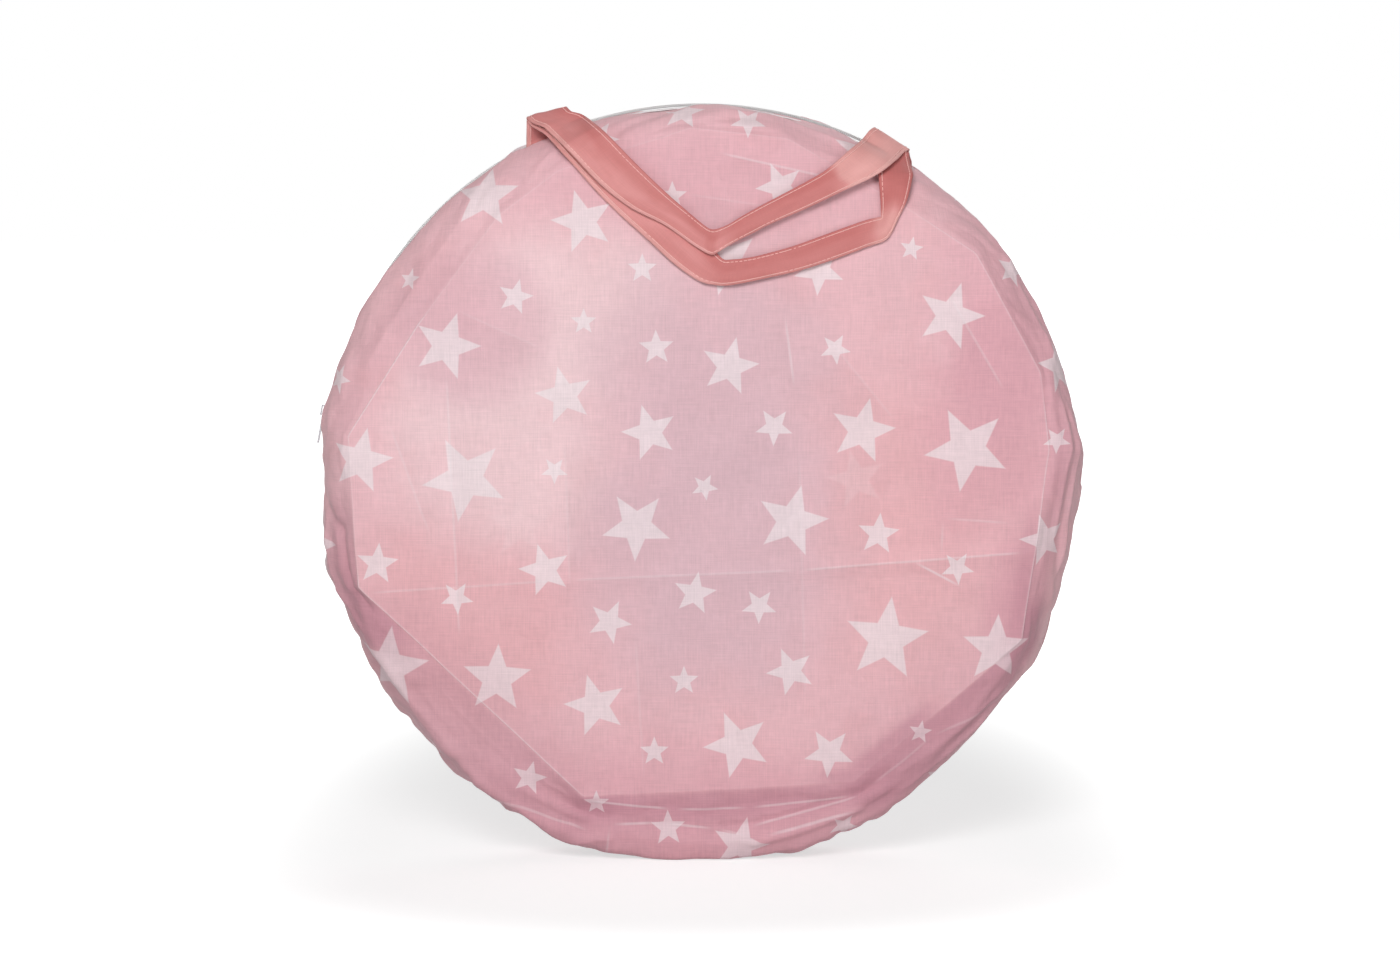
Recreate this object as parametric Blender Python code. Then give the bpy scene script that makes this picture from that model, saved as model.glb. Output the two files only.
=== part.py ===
"""Round carry bag of printed cloth, closed by a zip over its upper rim, standing on its edge.

Inside it lies the folded pop-up tent that keeps it round: three spring-wire hoops, each wound
into three loops in a cloth sleeve, with the tent's cloth folded flat inside them.

Metres, +Z up. The origin is the middle of the foot that the bag stands on. +Y points from the
front panel to the back panel. Angles round the rim run from +X (0 degrees) over the top (90).
"""

import math

import bmesh
import bpy
from mathutils import Matrix, Vector

# Bag
RIM_RADIUS = 0.235
BAG_DEPTH = 0.066
FACE_CORNERS = (  # the flat of each panel is pulled to corners by what is packed inside: angle, share
    (6.3, 0.912),
    (19.0, 0.931),
    (40.8, 0.940),
    (53.5, 0.904),
    (76.0, 0.936),
    (91.7, 0.937),
    (113.9, 0.905),
    (126.3, 0.882),
    (149.7, 0.849),
    (171.4, 0.928),
    (196.1, 0.930),
    (249.1, 0.866),
    (297.4, 0.868),
    (334.7, 0.928),
)
FOOT_CUT = 0.0031  # how far the standing weight flattens the lowest point of the rim
SQUARENESS_TOP = 2.5  # superellipse power of the rim's section at the top
SQUARENESS_FOOT = 5.0  # and at the foot, where the weight squares it
CLOTH = 0.0012
SEAM_SHIFT = 0.0008  # the lower seam lies this far behind the middle plane
FIT = 0.0003  # gap between pieces that touch
RING_STEP = math.radians(6.0)
SHOULDER_RINGS = 7

# Zip, as angles round the rim and sections across it
ZIP_LEFT = math.radians(171.0)
ZIP_RIGHT = math.radians(10.0)
ZIP_MOUTH = 0.008  # each panel's edge stops this far from the middle plane
TAPE_REACH = 0.011  # each tape's outer edge lies this far from the middle plane
TAPE = 0.0008
TAPE_END = math.radians(3.0)  # length of bare tape past the coils
COIL_HEIGHT = 0.0024
COIL_WIDTH = 0.002
COIL_GAP = 0.0014  # between the two coils, where the slider's wedge runs
STOP_LENGTH = 0.002
ARC_STEP = math.radians(5.0)

# Zip slider and pull
SLIDER_AT = math.radians(169.0)
SLIDER_LENGTH = 0.010
SLIDER_PLATE = 0.0012
SLIDER_LIP = 0.0008
RUN = 0.0005  # running clearance round the slider
CROWN_LENGTH = 0.0064
CROWN_WIDTH = 0.0016
CROWN_BAR = 0.0009
CROWN_OPENING = 0.0022
PULL_LENGTH = 0.022
PULL_WIDTH = 0.0054
PULL_THICK = 0.0012
PULL_BAR = 0.0011
PULL_EYE_LENGTH = 0.0036
PULL_EYE_WIDTH = 0.0028

# Seam binding inside the lower rim
BINDING_HALF = 0.006
BINDING_LEFT = math.radians(183.0)
BINDING_RIGHT = math.radians(357.0)

# Handles
STRAP_WIDTH = 0.025
STRAP = 0.0016
FOLD_LEFT_ANGLE = math.radians(112.3)  # the handles fold over the rim here and swing about it
FOLD_RIGHT_ANGLE = math.radians(61.7)
FOLD_LIFT = 0.0137  # height of the folds over the rim
FOLD_DEPTH = -0.0125
FOLD_REST = math.radians(140.0)  # way each handle leaves its fold, from straight up to the front
FOLD_FRONT_END = math.radians(194.0)  # way to the front handle's sewn end
FOLD_BACK_END = math.radians(262.0)  # way to the back handle's sewn end
FOLD_GAP = 0.0022  # bare length either side of the fold
LAYER_FOLD = 0.0024  # the back handle lies this far outside the front one, square to it
LAYER_TOP = 0.0052  # the same, straight forward, near the fold
LAYER_FACE = 0.0026  # and on the front panel
DRAPE_DROP = 0.050  # drop below the fold at which a handle lies flat on the front panel
DRAPE_CLEAR = 0.0022  # front panel to the middle of the front handle
DRAPE_POWER = 2.2
STRAP_STEPS = 3  # sections between two hand-set stations
SEWN_RISE = 0.004  # a sewn end stands straight up from the tape this far
SEWN_INSET = 0.0011  # and this far inside the panel's edge
ARCH_REACH = 0.009  # the back handle's sewn end arches over the zip this far behind the fold
ARCH_RISE = 0.0006

# Folded tent
HOOPS = 3
HOOP_LOOPS = 3
LOOP_POINTS = 16
HOOP_FACE_CLEAR = 0.0016  # outer hoops to the panels' flats
WIRE_RADIUS = 0.00175
SLEEVE_BORE = 0.0026
SLEEVE_SHARE = 0.214  # share of a hoop's room across the bag that one sleeve's radius takes
SLEEVE_END = 0.024  # bare wire either side of the join
FERRULE_HALF = 0.014
FERRULE_WALL = 0.0009
HOOP_CLEAR = 0.002  # middle hoop to the zip slider's path
SIDE_HOOP_CLEAR = 0.0028  # outer hoops to the panels' shoulders

CENTRE_HEIGHT = RIM_RADIUS - FOOT_CUT
HALF_DEPTH = BAG_DEPTH / 2
HOOP_PITCH = 2.0 * (HALF_DEPTH - CLOTH - HOOP_FACE_CLEAR) / HOOPS
SLEEVE_RADIUS = SLEEVE_SHARE * HOOP_PITCH
LOOP_OFFSET = HOOP_PITCH / 2 - SLEEVE_RADIUS - FIT  # the loops of one hoop lie round this circle
HOOP_REACH = LOOP_OFFSET + SLEEVE_RADIUS


def clear_scene():
    for old in list(bpy.data.objects):
        bpy.data.objects.remove(old, do_unlink=True)


def material(name, colour, roughness, metallic=0.0):
    made = bpy.data.materials.new(name)
    made.use_nodes = True
    shader = made.node_tree.nodes["Principled BSDF"]
    shader.inputs["Base Color"].default_value = (*colour, 1.0)
    shader.inputs["Roughness"].default_value = roughness
    shader.inputs["Metallic"].default_value = metallic
    return made


def add_object(name, data, finish, origin=(0.0, 0.0, 0.0), parent=None):
    made = bpy.data.objects.new(name, data)
    data.materials.append(finish)
    made.location = origin
    made.parent = parent
    bpy.context.scene.collection.objects.link(made)
    return made


def add_mesh(name, shape, finish, origin=(0.0, 0.0, 0.0), parent=None):
    """Makes an object of a bmesh whose points are given from origin."""
    bmesh.ops.recalc_face_normals(shape, faces=shape.faces)
    mesh = bpy.data.meshes.new(name)
    shape.to_mesh(mesh)
    shape.free()
    mesh.shade_smooth()
    mesh.set_sharp_from_angle(angle=math.radians(35.0))
    return add_object(name, mesh, finish, origin, parent)


def thicken(piece, thickness, offset):
    wall = piece.modifiers.new("cloth", "SOLIDIFY")
    wall.thickness = thickness
    wall.offset = offset
    wall.use_even_offset = True


def rim_point(radius, angle, depth):
    return Vector((radius * math.cos(angle), depth, CENTRE_HEIGHT + radius * math.sin(angle)))


def smooth_step(value):
    value = min(1.0, max(0.0, value))
    return value * value * (3.0 - 2.0 * value)


def squareness(angle):
    """Power of the rim's section, larger towards the foot."""
    return SQUARENESS_TOP + (SQUARENESS_FOOT - SQUARENESS_TOP) * smooth_step(-math.sin(angle))


def face_corner(index):
    degrees, share = FACE_CORNERS[index % len(FACE_CORNERS)]
    return math.radians(degrees), RIM_RADIUS * share


def face_reach(angle):
    """Radius of the flat's edge, which runs straight from corner to corner."""
    turned = angle % math.tau
    index = sum(math.radians(degrees) <= turned for degrees, _ in FACE_CORNERS) - 1
    start, near = face_corner(index)
    end, far = face_corner(index + 1)
    span = (end - start) % math.tau
    along = (turned - start) % math.tau
    return near * far * math.sin(span) / (near * math.sin(along) + far * math.sin(span - along))


def shell_radius(depth, power, face):
    """Outer radius of the bag at a depth from its middle plane, where the flat ends at face."""
    share = 1.0 - (abs(depth) / HALF_DEPTH) ** power
    return face + (RIM_RADIUS - face) * share ** (1.0 / power)


def panel_angles():
    """Angles round a panel: its corners, and even steps between them."""
    angles = []
    for index in range(len(FACE_CORNERS)):
        start = face_corner(index)[0]
        span = (face_corner(index + 1)[0] - start) % math.tau
        steps = max(1, round(span / RING_STEP))
        angles += [start + span * k / steps for k in range(steps)]
    return angles


LEAST_FACE = min(face_reach(angle) for angle in panel_angles())

# Radii of the zip, from the tape's seat under the panels' edges outwards
TAPE_OUTER = shell_radius(TAPE_REACH, SQUARENESS_TOP, LEAST_FACE) - CLOTH - 3.0 * FIT
TAPE_INNER = TAPE_OUTER - TAPE
COIL_FOOT = TAPE_OUTER + FIT
COIL_TOP = COIL_FOOT + COIL_HEIGHT
COIL_NEAR = COIL_GAP / 2
COIL_FAR = COIL_NEAR + COIL_WIDTH
PLATE_FOOT = COIL_TOP + RUN
PLATE_TOP = PLATE_FOOT + SLIDER_PLATE
PIVOT_RADIUS = PLATE_TOP + CROWN_OPENING / 2
SLIDER_INNER = TAPE_INNER - RUN - SLIDER_PLATE


def zip_share(angle):
    """1 where the zip parts the panels, 0 where they are sewn together."""
    blend = math.radians(4.0)
    start = ZIP_RIGHT - math.radians(2.0)
    end = ZIP_LEFT + math.radians(1.0)
    turned = angle % math.tau
    if turned > 1.5 * math.pi:
        turned -= math.tau
    return smooth_step((turned - start) / blend + 1.0) * smooth_step((end - turned) / blend + 1.0)


def panel_edge(side, angle):
    """Depth of a panel's edge: beside the zip, or at the lower seam. side is -1 front, 1 back."""
    seam = SEAM_SHIFT if side < 0 else SEAM_SHIFT + FIT
    share = zip_share(angle)
    return share * side * ZIP_MOUTH + (1.0 - share) * seam


def shoulder_point(side, angle, step):
    """A point on the panel's outer face, from the flat's edge (step 0) to the rim's edge (1)."""
    power = squareness(angle)
    edge = panel_edge(side, angle)
    last = math.asin((max(0.0, side * edge) / HALF_DEPTH) ** (power / 2.0))
    turn = math.pi / 2 + (last - math.pi / 2) * step
    face = face_reach(angle)
    radius = face + (RIM_RADIUS - face) * max(0.0, math.cos(turn)) ** (2.0 / power)
    depth = side * HALF_DEPTH * math.sin(turn) ** (2.0 / power)
    point = rim_point(radius, angle, edge if step == 1.0 else depth)
    point.z = max(point.z, 0.0)
    return point


def build_panel(name, side, finish):
    """A round panel: a flat face whose edge rolls over to the rim, flattened at the foot."""
    shape = bmesh.new()
    angles = panel_angles()
    loops = []
    for ring in range(SHOULDER_RINGS + 1):
        points = [shoulder_point(side, a, ring / SHOULDER_RINGS) for a in angles]
        corners = [shape.verts.new(p) for p in points]
        loops.append([shape.edges.new((corners[k - 1], corners[k])) for k in range(len(corners))])
        if ring == 0:
            shape.faces.new(corners if side < 0 else corners[::-1])
    for near, far in zip(loops, loops[1:]):
        bmesh.ops.bridge_loops(shape, edges=near + far)
    panel = add_mesh(name, shape, finish)
    thicken(panel, CLOTH, -1.0)
    return panel


def build_arc_bar(name, finish, radii, depths, angles, floor=None):
    """A bar of rectangular section along the rim. floor keeps it above the flattened foot."""
    shape = bmesh.new()
    start, end = angles
    section = [(radii[0], depths[0]), (radii[0], depths[1]), (radii[1], depths[1]), (radii[1], depths[0])]
    corners = [shape.verts.new(rim_point(r, start, d)) for r, d in section]
    edges = [shape.edges.new((corners[k - 1], corners[k])) for k in range(4)]
    bmesh.ops.spin(
        shape,
        geom=corners + edges,
        cent=(0.0, 0.0, CENTRE_HEIGHT),
        axis=(0.0, -1.0, 0.0),
        angle=end - start,
        steps=max(1, round((end - start) / ARC_STEP)),
    )
    bmesh.ops.holes_fill(shape, edges=[e for e in shape.edges if e.is_boundary])
    if floor is not None:
        for vert in shape.verts:
            lift = radii[1] - math.hypot(vert.co.x, vert.co.z - CENTRE_HEIGHT)
            vert.co.z = max(vert.co.z, floor + lift)
    return add_mesh(name, shape, finish)


def build_zip(tape_finish, coil_finish, stop_finish):
    tape_span = (ZIP_RIGHT - TAPE_END, ZIP_LEFT + TAPE_END)
    stop = STOP_LENGTH / RIM_RADIUS
    gap = FIT / RIM_RADIUS
    for label, side in (("front", -1), ("back", 1)):
        tape_depths = (side * COIL_NEAR, side * TAPE_REACH)
        coil_depths = (side * COIL_NEAR, side * COIL_FAR)
        build_arc_bar(f"zip_tape_{label}", tape_finish, (TAPE_INNER, TAPE_OUTER), tape_depths, tape_span)
        build_arc_bar(
            f"zip_coil_{label}", coil_finish, (COIL_FOOT, COIL_TOP), coil_depths, (ZIP_RIGHT, ZIP_LEFT)
        )
        build_arc_bar(
            f"zip_top_stop_{label}",
            stop_finish,
            (COIL_FOOT, COIL_TOP),
            coil_depths,
            (ZIP_LEFT + gap, ZIP_LEFT + gap + stop),
        )
    build_arc_bar(
        "zip_bottom_stop",
        stop_finish,
        (COIL_FOOT, COIL_TOP),
        (-COIL_FAR, COIL_FAR),
        (ZIP_RIGHT - gap - stop, ZIP_RIGHT - gap),
    )


def extrude_outline(points, way):
    """A bmesh solid: a flat outline pushed along way."""
    shape = bmesh.new()
    face = shape.faces.new([shape.verts.new(p) for p in points])
    made = bmesh.ops.extrude_face_region(shape, geom=[face], use_keep_orig=True)
    moved = [g for g in made["geom"] if isinstance(g, bmesh.types.BMVert)]
    bmesh.ops.translate(shape, verts=moved, vec=way)
    return shape


def add_tool(name, shape, target, operation):
    """A hidden helper that is joined to, or cut from, its target."""
    tool = add_mesh(name, shape, target.data.materials[0], parent=target)
    tool.hide_render = True
    tool.display_type = "WIRE"
    boolean = target.modifiers.new(name, "BOOLEAN")
    boolean.operation = operation
    boolean.object = tool


def build_slider(finish):
    """The slider as it stands at the top of the rim, turned to its place about the bag's centre.

    Two plates hold the coils between them. A thin wedge joins the plates between the coils, and
    a crown on the outer plate carries the pull.
    """
    half = COIL_FAR + RUN + SLIDER_LIP
    web = COIL_NEAR - FIT
    lip_foot = TAPE_OUTER + RUN
    lower_foot = SLIDER_INNER
    lower_top = lower_foot + SLIDER_PLATE
    right = [
        (half, lower_foot),
        (half, lower_top),
        (web, lower_top),
        (web, PLATE_FOOT),
        (half - SLIDER_LIP, PLATE_FOOT),
        (half - SLIDER_LIP, lip_foot),
        (half, lip_foot),
        (half, PLATE_TOP),
    ]
    outline = right + [(-y, z) for y, z in reversed(right)]
    start = -SLIDER_LENGTH / 2
    shape = extrude_outline([Vector((start, y, z)) for y, z in outline], Vector((SLIDER_LENGTH, 0, 0)))
    slider = add_mesh("zip_slider", shape, finish, (0.0, 0.0, CENTRE_HEIGHT))
    slider.rotation_euler.y = math.pi / 2 - SLIDER_AT

    long = CROWN_LENGTH / 2
    inner = long - CROWN_BAR
    foot = PLATE_TOP - SLIDER_PLATE / 2
    under = PLATE_TOP + CROWN_OPENING
    staple = [
        (-long, foot),
        (-inner, foot),
        (-inner, under),
        (inner, under),
        (inner, foot),
        (long, foot),
        (long, under + CROWN_BAR),
        (-long, under + CROWN_BAR),
    ]
    crown = [Vector((x, -CROWN_WIDTH / 2, z)) for x, z in staple]
    add_tool("slider_crown", extrude_outline(crown, Vector((0, CROWN_WIDTH, 0))), slider, "UNION")
    return slider


def build_pull(slider, finish):
    """A flat tab with a round end. Its eye hangs on the slider's crown, with the bar at the origin."""
    half = PULL_WIDTH / 2
    centre = -(PULL_LENGTH - half)
    turns = 8
    rounded = [
        (centre - half * math.sin(math.pi * k / turns), half * math.cos(math.pi * k / turns))
        for k in range(turns + 1)
    ]
    outline = [(PULL_BAR / 2, half), *rounded, (PULL_BAR / 2, -half)]
    plate = [Vector((x, y, -PULL_THICK / 2)) for x, y in outline]
    shape = extrude_outline(plate, Vector((0, 0, PULL_THICK)))
    pull = add_mesh("zip_pull", shape, finish, (0.0, 0.0, PIVOT_RADIUS), slider)
    eye_start = -PULL_BAR / 2
    eye_end = eye_start - PULL_EYE_LENGTH
    wide = PULL_EYE_WIDTH / 2
    corners = [(eye_start, wide), (eye_end, wide), (eye_end, -wide), (eye_start, -wide)]
    eye = [Vector((x, y, -PULL_THICK)) for x, y in corners]
    add_tool("pull_eye", extrude_outline(eye, Vector((0, 0, 2 * PULL_THICK))), pull, "DIFFERENCE")


def build_binding(finish):
    outer = shell_radius(BINDING_HALF + SEAM_SHIFT, SQUARENESS_TOP, LEAST_FACE) - CLOTH - 3.0 * FIT
    build_arc_bar(
        "rim_binding",
        finish,
        (outer - TAPE, outer),
        (SEAM_SHIFT - BINDING_HALF, SEAM_SHIFT + BINDING_HALF),
        (BINDING_LEFT, BINDING_RIGHT),
        floor=CLOTH + FIT,
    )


def curve_through(points, steps):
    """Points of a smooth curve (Catmull-Rom) through the given ones, steps to each stretch."""
    made = []
    for k in range(len(points) - 1):
        before = points[max(k - 1, 0)]
        here, there = points[k], points[k + 1]
        after = points[min(k + 2, len(points) - 1)]
        for s in range(steps):
            t = s / steps
            pull_in = 2.0 * before - 5.0 * here + 4.0 * there - after
            pull_out = 3.0 * here - before - 3.0 * there + after
            made.append(here + 0.5 * (t * (there - before) + t * t * pull_in + t**3 * pull_out))
    return made + [points[-1]]


def build_ribbon(name, rows, finish, origin, thickness):
    """A flat strip through rows of points across it, given thickness about its middle."""
    shape = bmesh.new()
    verts = [[shape.verts.new(p - origin) for p in row] for row in rows]
    across = [shape.edges.new(pair) for pair in zip(verts[0], verts[0][1:])]
    for row in verts[1:]:
        new = [shape.edges.new(pair) for pair in zip(row, row[1:])]
        for near, far in zip(across, new):
            shape.faces.new((near.verts[0], near.verts[1], far.verts[1], far.verts[0]))
        across = new
    strip = add_mesh(name, shape, finish, origin)
    thicken(strip, thickness, 0.0)
    return strip


FOLD_LEFT = rim_point(RIM_RADIUS + FOLD_LIFT, FOLD_LEFT_ANGLE, FOLD_DEPTH)
FOLD_RIGHT = rim_point(RIM_RADIUS + FOLD_LIFT, FOLD_RIGHT_ANGLE, FOLD_DEPTH)


def fold_height(x):
    """Height of the handles' fold line above the floor at x."""
    share = (x - FOLD_LEFT.x) / (FOLD_RIGHT.x - FOLD_LEFT.x)
    return FOLD_LEFT.z + share * (FOLD_RIGHT.z - FOLD_LEFT.z)


def panel_depth(x, z):
    """Depth of the panel's outer face below the zip, 0 past the rim."""
    face = face_reach(math.atan2(z - CENTRE_HEIGHT, x))
    share = (math.hypot(x, z - CENTRE_HEIGHT) - face) / (RIM_RADIUS - face)
    share = min(1.0, max(0.0, share))
    return HALF_DEPTH * (1.0 - share**SQUARENESS_TOP) ** (1.0 / SQUARENESS_TOP)


def drape_depth(x, z, layer):
    """Depth of a handle that comes forward over the bag's shoulder. layer is 0 inner, 1 outer."""
    drop = (fold_height(x) - z) / DRAPE_DROP
    drop = min(1.0, max(0.0, drop))
    reach = HALF_DEPTH + DRAPE_CLEAR + FOLD_DEPTH
    free = FOLD_DEPTH - reach * (1.0 - (1.0 - drop) ** DRAPE_POWER)
    inner = min(free, -panel_depth(x, z) - DRAPE_CLEAR)
    return inner - layer * (LAYER_TOP + (LAYER_FACE - LAYER_TOP) * drop)


def fold_row(fold, direction, layer):
    """Points across a strap where it leaves the fold at an angle from straight up to the front."""
    way = Vector((0.0, -math.sin(direction), math.cos(direction)))
    lead = Vector((0.0, -math.cos(direction), -math.sin(direction)))
    axis = (FOLD_RIGHT - FOLD_LEFT).normalized()
    centre = fold + way * FOLD_GAP - lead * (layer * LAYER_FOLD)
    return [centre + axis * (STRAP_WIDTH * s) for s in (-0.5, 0.0, 0.5)]


def handle_rows(stations, layer):
    """Rows across a handle's loop, from its left fold over the hand-set stations to its right fold."""
    left = fold_row(FOLD_LEFT, FOLD_REST, layer)
    right = fold_row(FOLD_RIGHT, FOLD_REST, layer)
    centre = Vector((0.0, 0.0, CENTRE_HEIGHT))
    outer = [left[0]] + [centre + RIM_RADIUS * Vector((a, 0.0, b)) for a, b, _, _ in stations] + [right[2]]
    inner = [left[2]] + [centre + RIM_RADIUS * Vector((c, 0.0, d)) for _, _, c, d in stations] + [right[0]]
    rows = []
    for low, high in zip(curve_through(outer, STRAP_STEPS), curve_through(inner, STRAP_STEPS)):
        row = [low, (low + high) / 2, high]
        rows.append([Vector((p.x, drape_depth(p.x, p.z, layer), p.z)) for p in row])
    rows[0] = left
    rows[-1] = right[::-1]
    return rows


# Edges of the two handles where they hang over the front panel: outer x and z, then inner x and z,
# from the bag's centre, in shares of the rim's radius
FRONT_HANDLE = [
    (-0.402, 0.920, -0.304, 0.954),
    (-0.332, 0.843, -0.245, 0.903),
    (-0.272, 0.775, -0.187, 0.839),
    (-0.211, 0.713, -0.132, 0.783),
    (-0.140, 0.651, -0.072, 0.728),
    (-0.064, 0.583, -0.009, 0.664),
    (0.009, 0.532, 0.038, 0.613),
    (0.068, 0.521, 0.072, 0.590),
    (0.140, 0.540, 0.128, 0.594),
    (0.255, 0.569, 0.230, 0.628),
    (0.345, 0.595, 0.323, 0.662),
    (0.426, 0.624, 0.409, 0.686),
    (0.477, 0.647, 0.447, 0.705),
    (0.506, 0.694, 0.460, 0.732),
    (0.534, 0.749, 0.464, 0.769),
    (0.551, 0.822, 0.460, 0.830),
]
BACK_HANDLE = [
    (-0.404, 0.937, -0.315, 0.966),
    (-0.331, 0.869, -0.251, 0.920),
    (-0.260, 0.792, -0.174, 0.843),
    (-0.179, 0.730, -0.098, 0.769),
    (-0.094, 0.675, -0.036, 0.707),
    (0.017, 0.607, 0.017, 0.662),
    (0.085, 0.639, 0.081, 0.683),
    (0.160, 0.676, 0.145, 0.724),
    (0.271, 0.729, 0.238, 0.775),
    (0.362, 0.769, 0.315, 0.824),
    (0.447, 0.811, 0.379, 0.871),
    (0.506, 0.856, 0.419, 0.903),
]


def seam_row(fold, depth, lift):
    """Points across a sewn end, following the rim at a height over the tape."""
    row = []
    for side in (-0.5, 0.0, 0.5):
        x = fold.x + STRAP_WIDTH * side
        radius = TAPE_OUTER + lift
        row.append(Vector((x, depth, CENTRE_HEIGHT + math.sqrt(radius**2 - x**2))))
    return row


def build_handle(label, stations, layer, finish):
    """A handle: its hanging loop, and the two ends that rise from the seam beside the zip.

    The cloth is one strip. It is parted at the fold over the rim, which it swings about.
    """
    build_ribbon(f"handle_{label}", handle_rows(stations, layer), finish, FOLD_LEFT, STRAP)
    side = 1.0 if layer else -1.0
    sewn = side * (ZIP_MOUTH - SEWN_INSET - STRAP / 2)
    for hand, fold in (("left", FOLD_LEFT), ("right", FOLD_RIGHT)):
        sewn_rows = [seam_row(fold, sewn, 2 * FIT), seam_row(fold, sewn, SEWN_RISE)]
        if layer:
            top = fold_row(fold, FOLD_BACK_END, 0)
            crest = [p + Vector((0.0, ARCH_REACH, ARCH_RISE)) for p in top]
            rows = [*sewn_rows, crest, top]
        else:
            rows = [*sewn_rows, fold_row(fold, FOLD_FRONT_END, 0)]
        columns = [curve_through(list(column), STRAP_STEPS) for column in zip(*rows)]
        build_ribbon(f"handle_{label}_end_{hand}", list(zip(*columns)), finish, fold, STRAP)


def hoop_point(centre, radius, turn):
    """A hoop's wire: a closed line that goes round HOOP_LOOPS times, each loop beside the last.

    One loop lies outermost at the foot.
    """
    roll = (turn - 1.5 * math.pi) / HOOP_LOOPS
    ring = radius + LOOP_OFFSET * math.cos(roll)
    return centre + Vector((ring * math.cos(turn), LOOP_OFFSET * math.sin(roll), ring * math.sin(turn)))


def add_tube(name, points, radius, finish, closed=False, wall=0.0):
    """A round tube along points. wall makes it a pipe that is open at both ends."""
    curve = bpy.data.curves.new(name, "CURVE")
    curve.dimensions = "3D"
    curve.bevel_depth = radius
    curve.bevel_resolution = 1
    curve.use_fill_caps = not (closed or wall)
    line = curve.splines.new("POLY")
    line.points.add(len(points) - 1)
    for spot, point in zip(line.points, points):
        spot.co = (*point, 1.0)
    line.use_cyclic_u = closed
    line.use_smooth = True
    tube = add_object(name, curve, finish)
    if wall:
        thicken(tube, wall, -1.0)
    return tube


def least_gap(points, radius):
    """Least clear distance between one loop and the next, on a wound tube's own points."""
    apart = LOOP_POINTS // 2
    return min((p - q).length for k, p in enumerate(points) for q in points[k + apart :]) - 2.0 * radius


def build_hoop(number, depth, radius, floor, finishes):
    """One folded hoop: the wire, its sleeve, and the ferrule that joins the wire's two ends."""
    wire_finish, sleeve_finish, ferrule_finish = finishes
    centre = Vector((0.0, depth, floor + radius + HOOP_REACH))
    join = math.pi / 2
    whole = HOOP_LOOPS * math.tau
    sleeve = SLEEVE_END / radius
    ferrule = FERRULE_HALF / radius
    steps = [whole * k / (HOOP_LOOPS * LOOP_POINTS) for k in range(1, HOOP_LOOPS * LOOP_POINTS)]
    covered = [sleeve, *steps, whole - sleeve]
    bare = [0.0, ferrule, *covered, whole - ferrule]
    wire_line = [hoop_point(centre, radius, join + t) for t in bare]
    sleeve_line = [hoop_point(centre, radius, join + t) for t in covered]
    ferrule_line = [hoop_point(centre, radius, join + t) for t in (whole - ferrule, whole, whole + ferrule)]
    add_tube(f"hoop_wire_{number}", wire_line, WIRE_RADIUS, wire_finish, closed=True)
    add_tube(
        f"hoop_sleeve_{number}", sleeve_line, SLEEVE_RADIUS, sleeve_finish, wall=SLEEVE_RADIUS - SLEEVE_BORE
    )
    add_tube(
        f"hoop_ferrule_{number}",
        ferrule_line,
        SLEEVE_BORE + FERRULE_WALL,
        ferrule_finish,
        wall=FERRULE_WALL,
    )
    gap = least_gap(sleeve_line, SLEEVE_RADIUS)
    print(f"hoop_sleeve_{number}: least gap between loops {gap * 1000:.2f} mm")
    return centre


def build_tent_cloth(number, centre, radius, finish):
    """The tent's cloth, folded flat inside one hoop: a soft-edged disc."""
    straight = math.cos(math.pi / LOOP_POINTS)  # the loops' stretches lie this much nearer in
    outer = (radius - LOOP_OFFSET) * straight - SLEEVE_RADIUS * math.cos(math.pi / 6) - FIT
    half = HOOP_PITCH / 2 - FIT
    edge = half * 0.8
    profile = [(0.0, half), (outer - edge, half), (outer - 0.3 * edge, 0.7 * half), (outer, 0.0)]
    profile += [(r, -d) for r, d in reversed(profile[:-1])]
    shape = bmesh.new()
    verts = [shape.verts.new((r, d, 0.0)) for r, d in profile]
    edges = [shape.edges.new(pair) for pair in zip(verts, verts[1:])]
    bmesh.ops.spin(
        shape,
        geom=verts + edges,
        cent=(0.0, 0.0, 0.0),
        axis=(0.0, 1.0, 0.0),
        angle=math.tau,
        steps=32,
        use_merge=True,
    )
    bmesh.ops.remove_doubles(shape, verts=shape.verts, dist=1e-5)
    bmesh.ops.transform(shape, matrix=Matrix.Translation(centre), verts=shape.verts)
    return add_mesh(f"tent_cloth_{number}", shape, finish)


def build_tent(hoop_finishes, cloth_finish):
    """The hoops stand side by side on the bag's floor, the middle one on the seam binding."""
    seat = CLOTH + FIT
    middle_seat = seat + TAPE + FIT
    slider_path = CENTRE_HEIGHT + SLIDER_INNER - HOOP_CLEAR
    middle_radius = (slider_path - middle_seat) / 2 - HOOP_REACH
    lean = HOOP_REACH * math.cos(math.pi / 4)
    shoulder = shell_radius(HOOP_PITCH + lean, SQUARENESS_TOP, LEAST_FACE)
    side_radius = shoulder - lean - CLOTH - SIDE_HOOP_CLEAR
    for number in range(1, HOOPS + 1):
        place = number - (HOOPS + 1) / 2
        radius, floor = (side_radius, seat) if place else (middle_radius, middle_seat)
        centre = build_hoop(number, place * HOOP_PITCH, radius, floor, hoop_finishes)
        build_tent_cloth(number, centre, radius, cloth_finish)


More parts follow.
